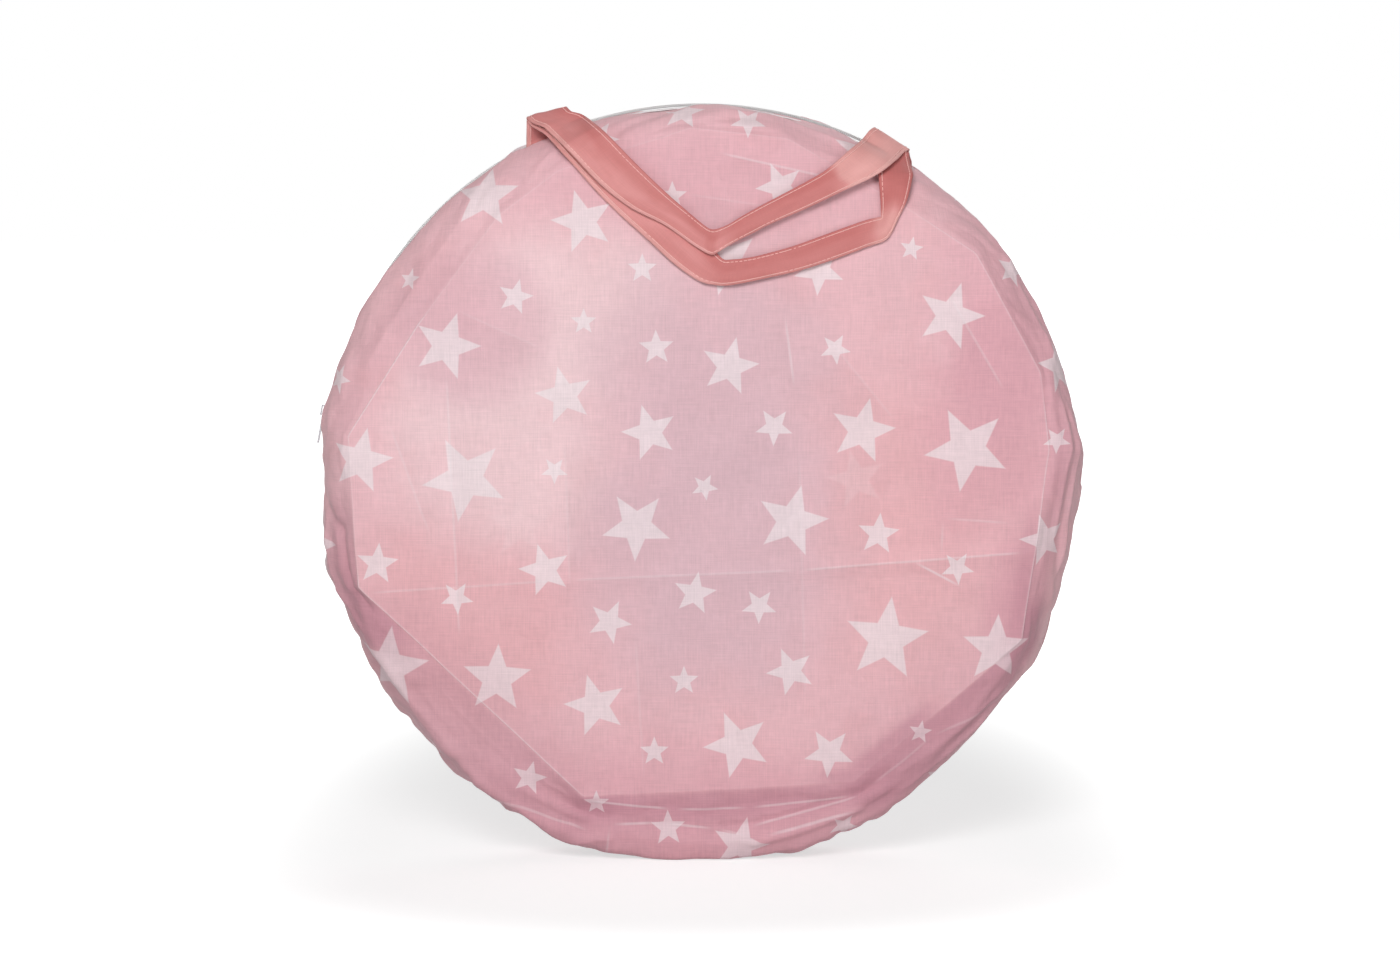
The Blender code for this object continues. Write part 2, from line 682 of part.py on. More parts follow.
def main():
    clear_scene()
    print_cloth = material("star_print_cloth", (0.72, 0.36, 0.40), 0.62)
    strap_cloth = material("strap_cloth", (0.60, 0.22, 0.22), 0.55)
    tape_cloth = material("zip_tape_cloth", (0.82, 0.78, 0.78), 0.8)
    coil_plastic = material("zip_coil_plastic", (0.85, 0.82, 0.82), 0.4)
    zip_metal = material("zip_metal", (0.75, 0.75, 0.76), 0.3, 1.0)
    spring_steel = material("spring_steel", (0.45, 0.45, 0.47), 0.35, 1.0)
    sleeve_cloth = material("sleeve_cloth", (0.80, 0.50, 0.53), 0.7)
    tent_cloth = material("tent_cloth", (0.74, 0.40, 0.44), 0.7)

    build_panel("front_panel", -1, print_cloth)
    build_panel("back_panel", 1, print_cloth)
    build_binding(tape_cloth)
    build_zip(tape_cloth, coil_plastic, zip_metal)
    slider = build_slider(zip_metal)
    build_pull(slider, zip_metal)
    build_handle("front", FRONT_HANDLE, 0, strap_cloth)
    build_handle("back", BACK_HANDLE, 1, strap_cloth)
    build_tent((spring_steel, sleeve_cloth, zip_metal), tent_cloth)


main()
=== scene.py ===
"""Dresses the frame of a round zip carry bag: printed cloth, strap handles and zip, on a white stage.

Metres, +Z up. The bag stands on the origin with its front towards -Y. Angles round the rim run
from +X (0 degrees) over the top (90).
"""

import math

import bmesh
import bpy
import numpy as np
from bpy.props import FloatProperty, FloatVectorProperty, PointerProperty
from mathutils import Matrix, Vector


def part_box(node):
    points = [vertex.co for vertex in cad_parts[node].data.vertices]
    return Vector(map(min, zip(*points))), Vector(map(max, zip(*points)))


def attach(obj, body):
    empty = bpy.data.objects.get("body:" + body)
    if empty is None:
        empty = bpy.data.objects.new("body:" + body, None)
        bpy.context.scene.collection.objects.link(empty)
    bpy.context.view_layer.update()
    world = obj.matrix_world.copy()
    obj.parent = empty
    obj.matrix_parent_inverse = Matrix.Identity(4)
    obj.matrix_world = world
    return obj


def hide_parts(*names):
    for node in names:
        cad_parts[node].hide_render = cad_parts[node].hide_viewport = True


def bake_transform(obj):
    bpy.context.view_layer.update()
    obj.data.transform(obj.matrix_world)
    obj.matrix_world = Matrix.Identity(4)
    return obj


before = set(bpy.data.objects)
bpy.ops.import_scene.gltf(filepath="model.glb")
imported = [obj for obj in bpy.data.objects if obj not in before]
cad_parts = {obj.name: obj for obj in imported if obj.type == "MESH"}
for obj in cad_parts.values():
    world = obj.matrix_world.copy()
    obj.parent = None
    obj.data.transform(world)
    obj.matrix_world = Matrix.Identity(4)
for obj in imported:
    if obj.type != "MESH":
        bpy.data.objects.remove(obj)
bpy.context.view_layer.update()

bl_info = {
    "name": "Round carry bag",
    "version": (1, 0, 0),
    "blender": (4, 5, 0),
    "location": "View3D > Sidebar > Carry bag",
    "description": "Dresses the frame of a round zip carry bag in cloth, straps and a zip",
    "category": "Object",
}

MM = 0.001
SIDES = (("front", -1), ("back", 1))

# Panels: the outlines run straight from corner to corner, as angle and share of the rim's radius
FACE_CORNERS = (
    (6.3, 0.912), (19.0, 0.931), (40.8, 0.940), (53.5, 0.904), (76.0, 0.936), (91.7, 0.937),
    (113.9, 0.905), (126.3, 0.882), (149.7, 0.849), (171.4, 0.928), (196.1, 0.930),
    (249.1, 0.866), (297.4, 0.868), (334.7, 0.928),
)
RIM_CORNERS = (
    (5.5, 1.012), (14.0, 0.996), (23.0, 1.004), (36.0, 0.999), (45.0, 1.003), (55.0, 1.002),
    (71.0, 0.998), (87.0, 1.000), (104.0, 1.001), (118.0, 1.006), (125.0, 1.000), (135.0, 1.004),
    (144.0, 1.005), (152.0, 1.014), (162.0, 1.009), (170.0, 1.014), (185.0, 0.993),
    (192.0, 1.009), (207.0, 0.998), (217.0, 1.006), (224.0, 1.000), (228.0, 1.011),
    (231.0, 0.998), (238.0, 1.011), (251.0, 1.000), (259.0, 1.001), (266.0, 0.992),
    (275.0, 0.991), (283.0, 1.000), (292.0, 0.995), (302.0, 0.995), (312.0, 0.985),
    (327.0, 0.985), (332.0, 1.009), (343.0, 0.986), (354.0, 0.991),
)
SEGMENTS = 560
FACE_RINGS = 40
BAND_RINGS = 44
PROFILE_STEPS = 160
CLOTH_GAP = 0.0009  # the outer face of the cloth to what lies under it
FOOT_ROUND = 0.0012  # how softly the cloth flattens on the floor
HOOP_LOOPS = 3
HOOPS = (1, 2, 3)

# Print, in millimetres: the steps of its repeat, and its stars as x, z, tip radius and turn in degrees
PRINT_ACROSS = (306.5, 18.3)
PRINT_DOWN = (7.0, -296.9)
PRINT_REACH = 310.0  # stars whose centre lies within this radius can fall on a panel
PRINT_SHIFT = {-1: (0.0, 0.0), 1: (96.0, 71.0)}  # where the repeat starts on the front and the back
STARS = (
    (-144.1, 6.4, 26.5, 44.7), (-154.7, 87.6, 21.1, 0.0), (108.5, -27.7, 13.2, 12.3),
    (-83.2, 57.4, 18.1, 31.3), (-89.4, 11.5, 8.5, 54.0), (-95.5, -49.8, 16.5, 33.7),
    (-39.4, -22.8, 21.8, 51.4), (-31.3, 34.7, 17.6, 34.4), (2.2, 1.2, 8.5, 63.0),
    (55.7, -19.5, 22.6, 3.5), (44.6, 38.2, 11.9, 52.0), (98.5, 35.8, 20.5, 5.0),
    (17.5, 75.2, 18.3, 5.0), (-27.2, 86.6, 11.1, 20.0), (81.7, 85.8, 9.7, 61.0),
    (-71.4, 102.3, 8.2, 18.0), (-112.8, 117.6, 11.2, 3.2), (-35.7, 134.7, 9.3, 18.0),
    (-71.7, 163.3, 19.7, 33.5), (-125.2, -117.0, 21.7, 15.2), (-3.8, -64.2, 13.7, 8.2),
    (35.7, -72.3, 11.2, 52.5), (55.0, -112.5, 15.2, 40.9), (22.3, -157.8, 21.2, 40.7),
    (78.8, -163.1, 15.8, 50.0), (127.8, 146.8, 7.5, 8.0), (113.7, -92.5, 26.3, 10.8),
    (157.0, -48.5, 10.5, 58.0), (-56.1, -81.8, 13.9, 65.1), (-10.4, -118.3, 9.3, 18.0),
)
# Stars that show faintly through the cloth
SHOW_THROUGH = ((-110.5, -22.2, 20.0, 20.0), (-104.0, 36.0, 17.0, 8.0), (95.0, 6.0, 18.0, 31.0))
STAR_NOTCH = 0.43
# Patches of another pink on the print's ground: colour, share, centre x and z, half width and height
# The salmon patches and the central lilac ones are the cloth's uneven tone. The pale ones are painted
# highlight, the satin's sheen. The mauve and shade patches, and the lilac patch under the upper-left
# mauve one, are painted shade.
CLOTH_PATCHES = (
    ("salmon", 0.7, 0.135, -0.025, 0.09, 0.10), ("salmon", 0.7, -0.150, -0.080, 0.09, 0.07),
    ("mauve", 0.5, 0.01, 0.190, 0.13, 0.040), ("mauve", 0.5, 0.190, 0.072, 0.040, 0.045),
    ("pale", 0.8, -0.115, 0.030, 0.085, 0.075), ("pale", 0.8, -0.075, 0.110, 0.07, 0.06),
    ("lilac", 0.9, 0.005, 0.045, 0.080, 0.11), ("lilac", 0.9, 0.010, -0.045, 0.09, 0.09),
    ("lilac", 0.6, -0.138, 0.098, 0.05, 0.05), ("mauve", 0.3, -0.138, 0.098, 0.045, 0.045),
    ("shade", 0.3, 0.186, 0.068, 0.035, 0.040), ("mauve", 0.7, 0.01, -0.215, 0.24, 0.06),
    ("mauve", 0.7, 0.195, 0.06, 0.065, 0.13), ("mauve", 0.7, 0.192, -0.078, 0.022, 0.055),
)
# Creases pressed into the flats: start and end from the centre, height and half width in millimetres,
# and how much lighter the cloth is painted on the left of the line than on its right, as painted light
# and painted shade
FRONT_CREASES = (
    ((-204, -64), (-81, -56), 1.0, 9.0, -0.5),
    ((-81, -56), (60, -50), 1.0, 8.0, 0.5),
    ((60, -50), (198, -39), 1.2, 9.0, 0.8),
    ((-155, 70), (-148, -92), 1.0, 14.0, -0.9),
    ((-83, 30), (-80, -62), 0.8, 14.0, -1.0),
    ((51, 107), (57, 61), 1.2, 10.0, 0.7),
    ((129, -44), (161, -61), 1.5, 7.0, -0.8),
    ((148, -18), (190, -21), 1.0, 8.0, -0.8),
    ((148, -18), (147, -42), 1.0, 7.0, 1.0),
    ((75, 95), (120, 40), 0.8, 16.0, 0.6),
    ((-150, 110), (-95, 85), 0.8, 14.0, 0.5),
    ((-60, 190), (-20, 150), 0.9, 12.0, 0.5),
    ((10, 205), (86, 188), 1.2, 9.0, 0.6),
    ((-10, 180), (70, 168), 0.8, 10.0, 0.5),
    ((150, 120), (185, 60), 1.0, 14.0, 0.8),
    ((-190, 40), (-165, -30), 0.9, 12.0, -0.6),
    ((60, 20), (64, -130), 0.8, 16.0, 0.7),
    ((-40, -90), (-35, -180), 0.8, 16.0, -0.6),
    ((-74, -193), (-17, -199), 1.3, 5.0, -0.9),
    ((-17, -199), (30, -198), 1.2, 5.0, -0.9),
    ((30, -198), (94, -191), 1.2, 5.0, -0.9),
    ((-56, -208), (-24, -207.5), 1.3, 6.0, -0.9),
    ((-24, -207.5), (9, -211), 1.3, 6.0, -0.9),
    ((9, -211), (30, -216), 1.2, 6.0, -0.7),
    ((30, -210), (99, -191), 1.2, 5.0, 0.9),
    ((40, -215), (97, -199), 1.3, 5.0, -0.9),
    ((-56, -208), (-59, -234), 1.1, 7.0, 0.8),
    ((-146, -187), (-68, -213), 1.1, 7.0, -1.2),
    ((-218, -122), (-146, -187), 0.9, 6.0, -1.0),
    ((105, -185), (142, -153), 0.9, 8.0, 0.9),
    ((142, -153), (220, -119), 0.9, 8.0, 0.9),
)
BACK_CREASES = (
    ((-200, -30), (190, -38), 1.1, 9.0, 0.7),
    ((70, 190), (64, -150), 0.9, 12.0, 0.8),
    ((-75, 170), (-70, -180), 0.9, 12.0, -0.8),
    ((-150, 90), (-110, 20), 0.9, 12.0, 0.5),
    ((120, 60), (175, 10), 1.0, 11.0, -0.6),
    ((-40, -90), (40, -120), 0.9, 11.0, 0.5),
)
# The pale edge of a crease is a painted highlight along it
CREASE_END = 0.012  # a crease's pale edge fades out over this length
# Folds along the band: start and end as angle in degrees and share of the band, height and half width
BAND_FOLDS = (
    ((352, 0.30), (374, 0.30), 1.6, 5.0),
    ((346, 0.55), (372, 0.50), 1.2, 5.0),
    ((300, 0.30), (326, 0.45), 1.2, 5.0),
    ((303, 0.55), (330, 0.70), 1.0, 5.0),
    ((297, 0.42), (278, 0.80), 2.0, 5.0),
    ((232, 0.93), (256, 0.62), 1.8, 6.0),
    ((200, 0.55), (228, 0.80), 1.0, 6.0),
    ((20, 0.35), (44, 0.55), 1.2, 6.0),
    ((130, 0.40), (160, 0.30), 1.0, 8.0),
    ((181, 0.75), (187, 0.24), -2.2, 6.0),
    ((186, 0.24), (200, 0.12), -2.2, 6.0),
    ((184, 0.62), (204, 0.50), 1.6, 6.0),
    ((60, 0.40), (88, 0.35), 0.9, 6.0),
)
# Painted highlight along the flat's edge, as the pale line of its fold: first and last angle, and how
# much more than elsewhere
EDGE_HIGHLIGHT = ((150.0, 170.0, 0.75), (196.0, 246.0, 0.6), (337.0, 372.0, 0.5), (380.0, 408.0, 0.3))

# Handles
STRAP_ROWS = 420
STRAP_COLUMNS = 16
STITCH_STEPS = 6
STITCH_RADIUS = 0.00027
STITCH_LINE = 0.80  # share of the strap's half width at which the stitches run
FOLD_LEFT = Vector((-0.0943, -0.0125, 0.4595))
FOLD_RIGHT = Vector((0.1165, -0.0125, 0.4435))
FOLD_LEAN = (math.radians(-15.0), math.radians(32.0))  # the left and right folds' lean from level
# How the front and back straps lead off from the left and the right fold, along x and z
FOLD_LEAD = (((0.0028, -0.0030), (0.0030, -0.0028)), ((-0.0004, -0.0036), (-0.0034, -0.0016)))
SEAM_DEPTH = (-0.0061, 0.0061)  # of the front and back straps' sewn ends
STRAP_GAP = 0.0022  # the panel to the middle of a strap on it
# Edges of each loop over the front, as outer x and z and inner x and z
FRONT_LOOP = (
    (-0.0949, 0.4478, -0.0713, 0.4561), (-0.0781, 0.4299, -0.0575, 0.4440),
    (-0.0640, 0.4140, -0.0440, 0.4290), (-0.0496, 0.3995, -0.0309, 0.4161),
    (-0.0332, 0.3848, -0.0166, 0.4035), (-0.0154, 0.3685, -0.0012, 0.3891),
    (-0.0011, 0.3589, 0.0083, 0.3775), (0.0079, 0.3566, 0.0134, 0.3723),
    (0.0159, 0.3561, 0.0182, 0.3720), (0.0331, 0.3592, 0.0319, 0.3737),
    (0.0602, 0.3654, 0.0555, 0.3800), (0.0812, 0.3722, 0.0776, 0.3879),
    (0.1011, 0.3797, 0.0982, 0.3953), (0.1132, 0.3845, 0.1085, 0.3979),
    (0.1194, 0.3967, 0.1090, 0.3985), (0.1248, 0.4077, 0.1088, 0.4066),
    (0.1288, 0.4230, 0.1074, 0.4230),
)
BACK_LOOP = (
    (-0.0953, 0.4519, -0.0726, 0.4595), (-0.0782, 0.4358, -0.0577, 0.4488),
    (-0.0612, 0.4179, -0.0398, 0.4307), (-0.0425, 0.4033, -0.0216, 0.4131),
    (-0.0227, 0.3935, -0.0070, 0.4003), (-0.0051, 0.3812, 0.0028, 0.3923),
    (0.0047, 0.3754, 0.0061, 0.3906), (0.0081, 0.3753, 0.0093, 0.3906),
    (0.0189, 0.3818, 0.0162, 0.3932), (0.0311, 0.3879, 0.0255, 0.3988),
    (0.0430, 0.3940, 0.0373, 0.4053), (0.0649, 0.4035, 0.0578, 0.4161),
    (0.0861, 0.4137, 0.0745, 0.4256), (0.1058, 0.4230, 0.0887, 0.4374),
    (0.1195, 0.4327, 0.0980, 0.4443),
)
# Patches of another tone along a strap, painted shade (strap_dark) where a run lies in shade and painted
# light (thread) where it catches the light: start, end and softness in metres, share and colour
FRONT_PATCHES = (
    (0.165, 0.262, 0.010, 0.60, "strap_dark"), (0.286, 0.345, 0.006, 0.95, "strap_dark"),
    (0.020, 0.060, 0.010, 0.30, "strap_dark"), (0.266, 0.282, 0.004, 0.25, "thread"),
)
BACK_PATCHES = (
    (0.180, 0.252, 0.008, 0.60, "strap_dark"), (0.257, 0.312, 0.003, 0.40, "thread"),
    (0.166, 0.172, 0.002, 0.50, "strap_dark"), (0.020, 0.050, 0.008, 0.30, "strap_dark"),
)

# Zip, binding and ferrules
TAPE_EDGE = 0.0008  # middle plane to a tape's inner edge
COIL_GROUPS = 22
COIL_TURNS = 24
COIL_WIRE = 0.00036
COIL_RING = 0.0011
COIL_SPREAD = 0.00115 / 0.00146  # narrows a turn to the coil's width
COIL_MIDDLE = 0.00165
COIL_LEAN = 0.18
COIL_BASE = 0.0003  # zip tape's outer face to the coil and the stops
COIL_HEIGHT = 0.0024
STOP_LENGTH = 0.002
STOP_GAP = 0.0016
CROWN_BASE = 0.0032  # zip tape's outer face to the slider's upper plate
PULL_HEIGHT = 0.0055  # zip tape's outer face to the middle of the pull
PULL_THICK = 0.0012
EYE_HALF = 0.0027
EYE_ENDS = (-0.00515, 0.00055)
BINDING_WIDTH = 0.0118
BINDING_DROP = 0.0030  # rim to the binding
BINDING_STEPS = (260, 8)
BINDING_ENDS = (math.radians(183.0), math.radians(357.0))
FERRULE_RADIUS = 0.0035
FERRULE_WALL = 0.0009

WHITE = (1.0, 1.0, 1.0, 1.0)
FLOOR_GREY = (0.86, 0.86, 0.86, 1.0)


def srgb(red, green, blue):
    """A colour given as it looks on screen, 0 to 255, as a linear one."""
    shares = [c / 255.0 for c in (red, green, blue)]
    return tuple(c / 12.92 if c <= 0.04045 else ((c + 0.055) / 1.055) ** 2.4 for c in shares)


def length_prop(name, description, default):
    return FloatProperty(name=name, description=description, default=default, unit="LENGTH", precision=5)


def angle_prop(name, description, degrees):
    return FloatProperty(
        name=name, description=description, default=math.radians(degrees), subtype="ANGLE"
    )


def colour_prop(name, description, *screen):
    return FloatVectorProperty(
        name=name, description=description, default=srgb(*screen), subtype="COLOR", min=0.0, max=1.0
    )


def power_prop(name, description, watts):
    return FloatProperty(name=name, description=description, default=watts, unit="POWER")


class CarryBagSizes(bpy.types.PropertyGroup):
    """Sizes of the bag's cloth, straps and zip."""

    rim_radius: length_prop("Rim radius", "Radius of the bag's rim", 0.235)
    half_depth: length_prop("Half depth", "Middle plane to the flat of a panel", 0.033)
    centre_height: length_prop("Centre height", "Height of the rim's centre over the floor", 0.2319)
    cloth: length_prop("Cloth", "Thickness of the printed cloth", 0.0004)
    zip_mouth: length_prop("Zip mouth", "Middle plane to a panel's edge beside the zip", 0.008)
    zip_left: angle_prop("Zip left end", "Angle of the zip's closed end", 171.0)
    zip_right: angle_prop("Zip right end", "Angle of the zip's other end", 10.0)
    tape_radius: length_prop("Tape radius", "Radius of the zip tape's outer face", 0.231615)
    tape: length_prop("Tape", "Thickness of the zip tape", 0.0006)
    tape_reach: length_prop("Tape reach", "Middle plane to the zip tape's outer edge", 0.011)
    tape_end: angle_prop("Tape end", "How far the zip tape runs on past the zip's ends", 6.3)
    strap_width: length_prop("Strap width", "Width of a handle's strap", 0.025)
    strap: length_prop("Strap", "Thickness of a handle's strap", 0.0012)
    stitch: length_prop("Stitch", "Length of one stitch along the straps", 0.0030)
    slider_at: angle_prop("Slider", "Angle round the rim at which the zip slider rests", 169.0)
    wire_radius: length_prop("Wire radius", "Radius of the spring wire in the hoops", 0.00175)
    sleeve_radius: length_prop("Sleeve radius", "Radius of the cloth sleeves on the hoops", 0.00431)
    sleeve_end: length_prop("Sleeve end", "Bare wire on either side of a hoop's ferrule", 0.024)


class CarryBagColours(bpy.types.PropertyGroup):
    """Colours of the bag's cloth, straps and zip."""

    pink: colour_prop("Pink", "Ground of the printed cloth", 225, 180, 186)
    salmon: colour_prop("Salmon", "Warmer patches of the printed cloth", 224, 171, 175)
    # Pale is also the painted highlight of the pale patches on the print
    pale: colour_prop("Pale", "Lighter patches of the printed cloth", 233, 203, 206)
    # Lilac is also the painted shade on the stars where the cloth turns to the rim
    lilac: colour_prop("Lilac", "Greyer patches of the printed cloth", 213, 178, 186)
    # Mauve is painted shade, in the patches where the cloth lies in shade
    mauve: colour_prop("Mauve", "Deeper patches of the printed cloth", 214, 160, 170)
    # Shade is painted shade: it darkens the band where the cloth turns to the rim, the flat near its
    # edge, and some patches
    shade: colour_prop("Shade", "Band of the printed cloth where it turns to the rim", 186, 132, 145)
    star: colour_prop("Star", "Stars of the print", 233, 223, 226)
    strap: colour_prop("Strap", "Cloth of the handles", 214, 143, 141)
    # Strap shade is also the painted shade of the strap's shaded runs
    strap_dark: colour_prop("Strap shade", "Darker threads of the handles", 188, 106, 103)
    # Thread is also the painted highlight along a strap's outer edge and the painted light on its lit
    # runs
    thread: colour_prop("Thread", "Stitches along the handles", 240, 190, 184)
    tape: colour_prop("Zip tape", "Woven tape of the zip", 240, 236, 236)
    coil: colour_prop("Zip coil", "Coils of the zip", 244, 242, 242)
    lacquer: colour_prop("Zip lacquer", "Lacquered metal of the slider and stops", 214, 211, 216)
    steel: colour_prop("Steel", "Spring wire of the hoops", 150, 152, 158)
    lining: colour_prop("Lining", "Tent cloth and sleeves inside the bag", 224, 172, 180)


class CarryBagStage(bpy.types.PropertyGroup):
    """Camera and light of the stage."""

    distance: length_prop("Distance", "Camera to the bag's centre", 2.6)
    elevation: angle_prop("Elevation", "Camera's angle over the bag's centre", 6.0)
    lens: FloatProperty(
        name="Lens", description="Focal length in millimetres", default=108.08, unit="CAMERA"
    )
    key_power: power_prop("Key", "Power of the large soft lamp", 72.0)
    fill_power: power_prop("Fill", "Power of the lamp on the other side", 13.0)
    back_power: power_prop("Back", "Power of the lamp behind the bag", 24.0)
    ambient: FloatProperty(name="Ambient", description="Light from all round", default=0.15)


class Amount:
    """A number that changes over a surface. Operators on it add Math nodes."""

    def __init__(self, finish, socket):
        self.finish = finish
        self.socket = socket

    def __add__(self, other):
        return self.finish.math("ADD", self, other)

    def __sub__(self, other):
        return self.finish.math("SUBTRACT", self, other)

    def __rsub__(self, other):
        return self.finish.math("SUBTRACT", other, self)

    def __mul__(self, other):
        return self.finish.math("MULTIPLY", self, other)

    def __truediv__(self, other):
        return self.finish.math("DIVIDE", self, other)

    def __pow__(self, other):
        return self.finish.math("POWER", self, other)

    def __abs__(self):
        return self.finish.math("ABSOLUTE", self)

    __radd__ = __add__
    __rmul__ = __mul__

    def fade(self, low, high):
        """0 below low, 1 above high, and a soft change between them."""
        settings = {"interpolation_type": "SMOOTHSTEP"}
        sockets = {"Value": self, "From Min": low, "From Max": high}
        return self.finish.amount("Result", "ShaderNodeMapRange", settings, sockets)


class Finish:
    """The nodes of a material or a world that is being made."""

    def __init__(self, owner, shader="Principled BSDF", **constants):
        owner.use_nodes = True
        self.owner = owner
        self.tree = owner.node_tree
        self.shader = self.tree.nodes[shader]
        for socket, value in constants.items():
            self.set(socket.replace("_", " "), value)

    def node(self, kind, settings=None, sockets=None):
        """The outputs of a new node."""
        made = self.tree.nodes.new(kind)
        for key, value in (settings or {}).items():
            setattr(made, key, value)
        for key, value in (sockets or {}).items():
            self.feed(made.inputs[key], value)
        return made.outputs

    def feed(self, socket, value):
        if isinstance(value, Amount):
            value = value.socket
        if isinstance(value, bpy.types.NodeSocket):
            self.tree.links.new(value, socket)
        else:
            socket.default_value = value

    def set(self, socket, value):
        self.feed(self.shader.inputs[socket], value)

    def amount(self, output, kind, settings=None, sockets=None):
        """One output of a new node, as a number."""
        return Amount(self, self.node(kind, settings, sockets)[output])

    def math(self, operation, *values):
        return self.amount(0, "ShaderNodeMath", {"operation": operation}, dict(enumerate(values)))

    def place(self, uv_map=None):
        """The surface's coordinates: a UV map of the piece, or Object coordinates."""
        if uv_map:
            return self.node("ShaderNodeUVMap", {"uv_map": uv_map})["UV"]
        return self.node("ShaderNodeTexCoord")["Object"]

    def parts(self, vector):
        return [Amount(self, socket) for socket in self.node("ShaderNodeSeparateXYZ", None, {0: vector})]

    def attribute(self, name):
        """A number that the piece keeps for each of its vertices."""
        return self.amount("Fac", "ShaderNodeAttribute", {"attribute_name": name})

    def seen_by(self, *rays):
        """1 for the named kinds of ray and 0 for others."""
        path = self.node("ShaderNodeLightPath")
        seen = Amount(self, path[rays[0]])
        for ray in rays[1:]:
            seen = self.math("MAXIMUM", seen, path[ray])
        return seen

    def noise(self, vector, scale, detail, roughness=0.5):
        """Noise from 0 to 1. A scale of three numbers draws it out."""
        if isinstance(scale, tuple):
            sockets = {0: vector, 1: scale}
            vector = self.node("ShaderNodeVectorMath", {"operation": "MULTIPLY"}, sockets)["Vector"]
            scale = 1.0
        sockets = {"Vector": vector, "Scale": scale, "Detail": detail, "Roughness": roughness}
        return self.amount("Fac", "ShaderNodeTexNoise", None, sockets)

    def mix(self, factor, first, second):
        """A colour between two others."""
        ends = (first, second)
        first, second = (c if isinstance(c, bpy.types.NodeSocket) else (*c, 1.0) for c in ends)
        settings = {"data_type": "RGBA", "clamp_factor": True}
        return self.node("ShaderNodeMix", settings, {0: factor, 6: first, 7: second})[2]

    def shade(self, colour, amount):
        """A colour made lighter or darker by a number."""
        sockets = {0: colour, "Scale": amount}
        return self.node("ShaderNodeVectorMath", {"operation": "SCALE"}, sockets)["Vector"]

    def bump(self, height, distance, strength):
        sockets = {"Height": height, "Distance": distance, "Strength": strength}
        self.set("Normal", self.node("ShaderNodeBump", None, sockets)["Normal"])


def material(name, **constants):
    return Finish(bpy.data.materials.new(name), **constants)


def star_mask(finish, uv_map, softness):
    """1 inside a five-pointed star of tip radius 1 about the UV map's origin."""
    x, y, _ = finish.parts(finish.place(uv_map))
    turn = finish.math("PINGPONG", finish.math("ARCTAN2", y, x), math.pi / 5)
    radius = (x * x + y * y) ** 0.5
    along, across = (radius * finish.math(kind, turn) for kind in ("COSINE", "SINE"))
    notch = (STAR_NOTCH * math.cos(math.pi / 5), STAR_NOTCH * math.sin(math.pi / 5))
    side = math.hypot(1.0 - notch[0], notch[1])
    inside = (1.0 - along) * (notch[1] / side) - across * ((1.0 - notch[0]) / side)
    return inside.fade(-softness, softness)


def line_place(x, z, start, end):
    """Places along and across a line, for arrays or Amounts, and the line's length."""
    length = math.dist(start, end)
    way_x, way_z = (end[0] - start[0]) / length, (end[1] - start[1]) / length
    along = (x - start[0]) * way_x + (z - start[1]) * way_z
    across = (z - start[1]) * way_x - (x - start[0]) * way_z
    return along, across, length


def pressed_line(x, z, start, end, width):
    """A pressed line: its thin pale edge, a painted highlight, and its tone of painted light and shade, 1
    on its left and -1 on its right.
    """
    along, across, length = line_place(x, z, start, end)
    ends = along.fade(0.0, CREASE_END) * (1.0 - along.fade(length - CREASE_END, length))
    near = abs(across)
    edge = ends * (1.0 - near.fade(0.0002, 0.0012))
    tone = ends * (1.0 - near.fade(0.0, width)) * (across / (near + 0.0005))
    return edge, tone


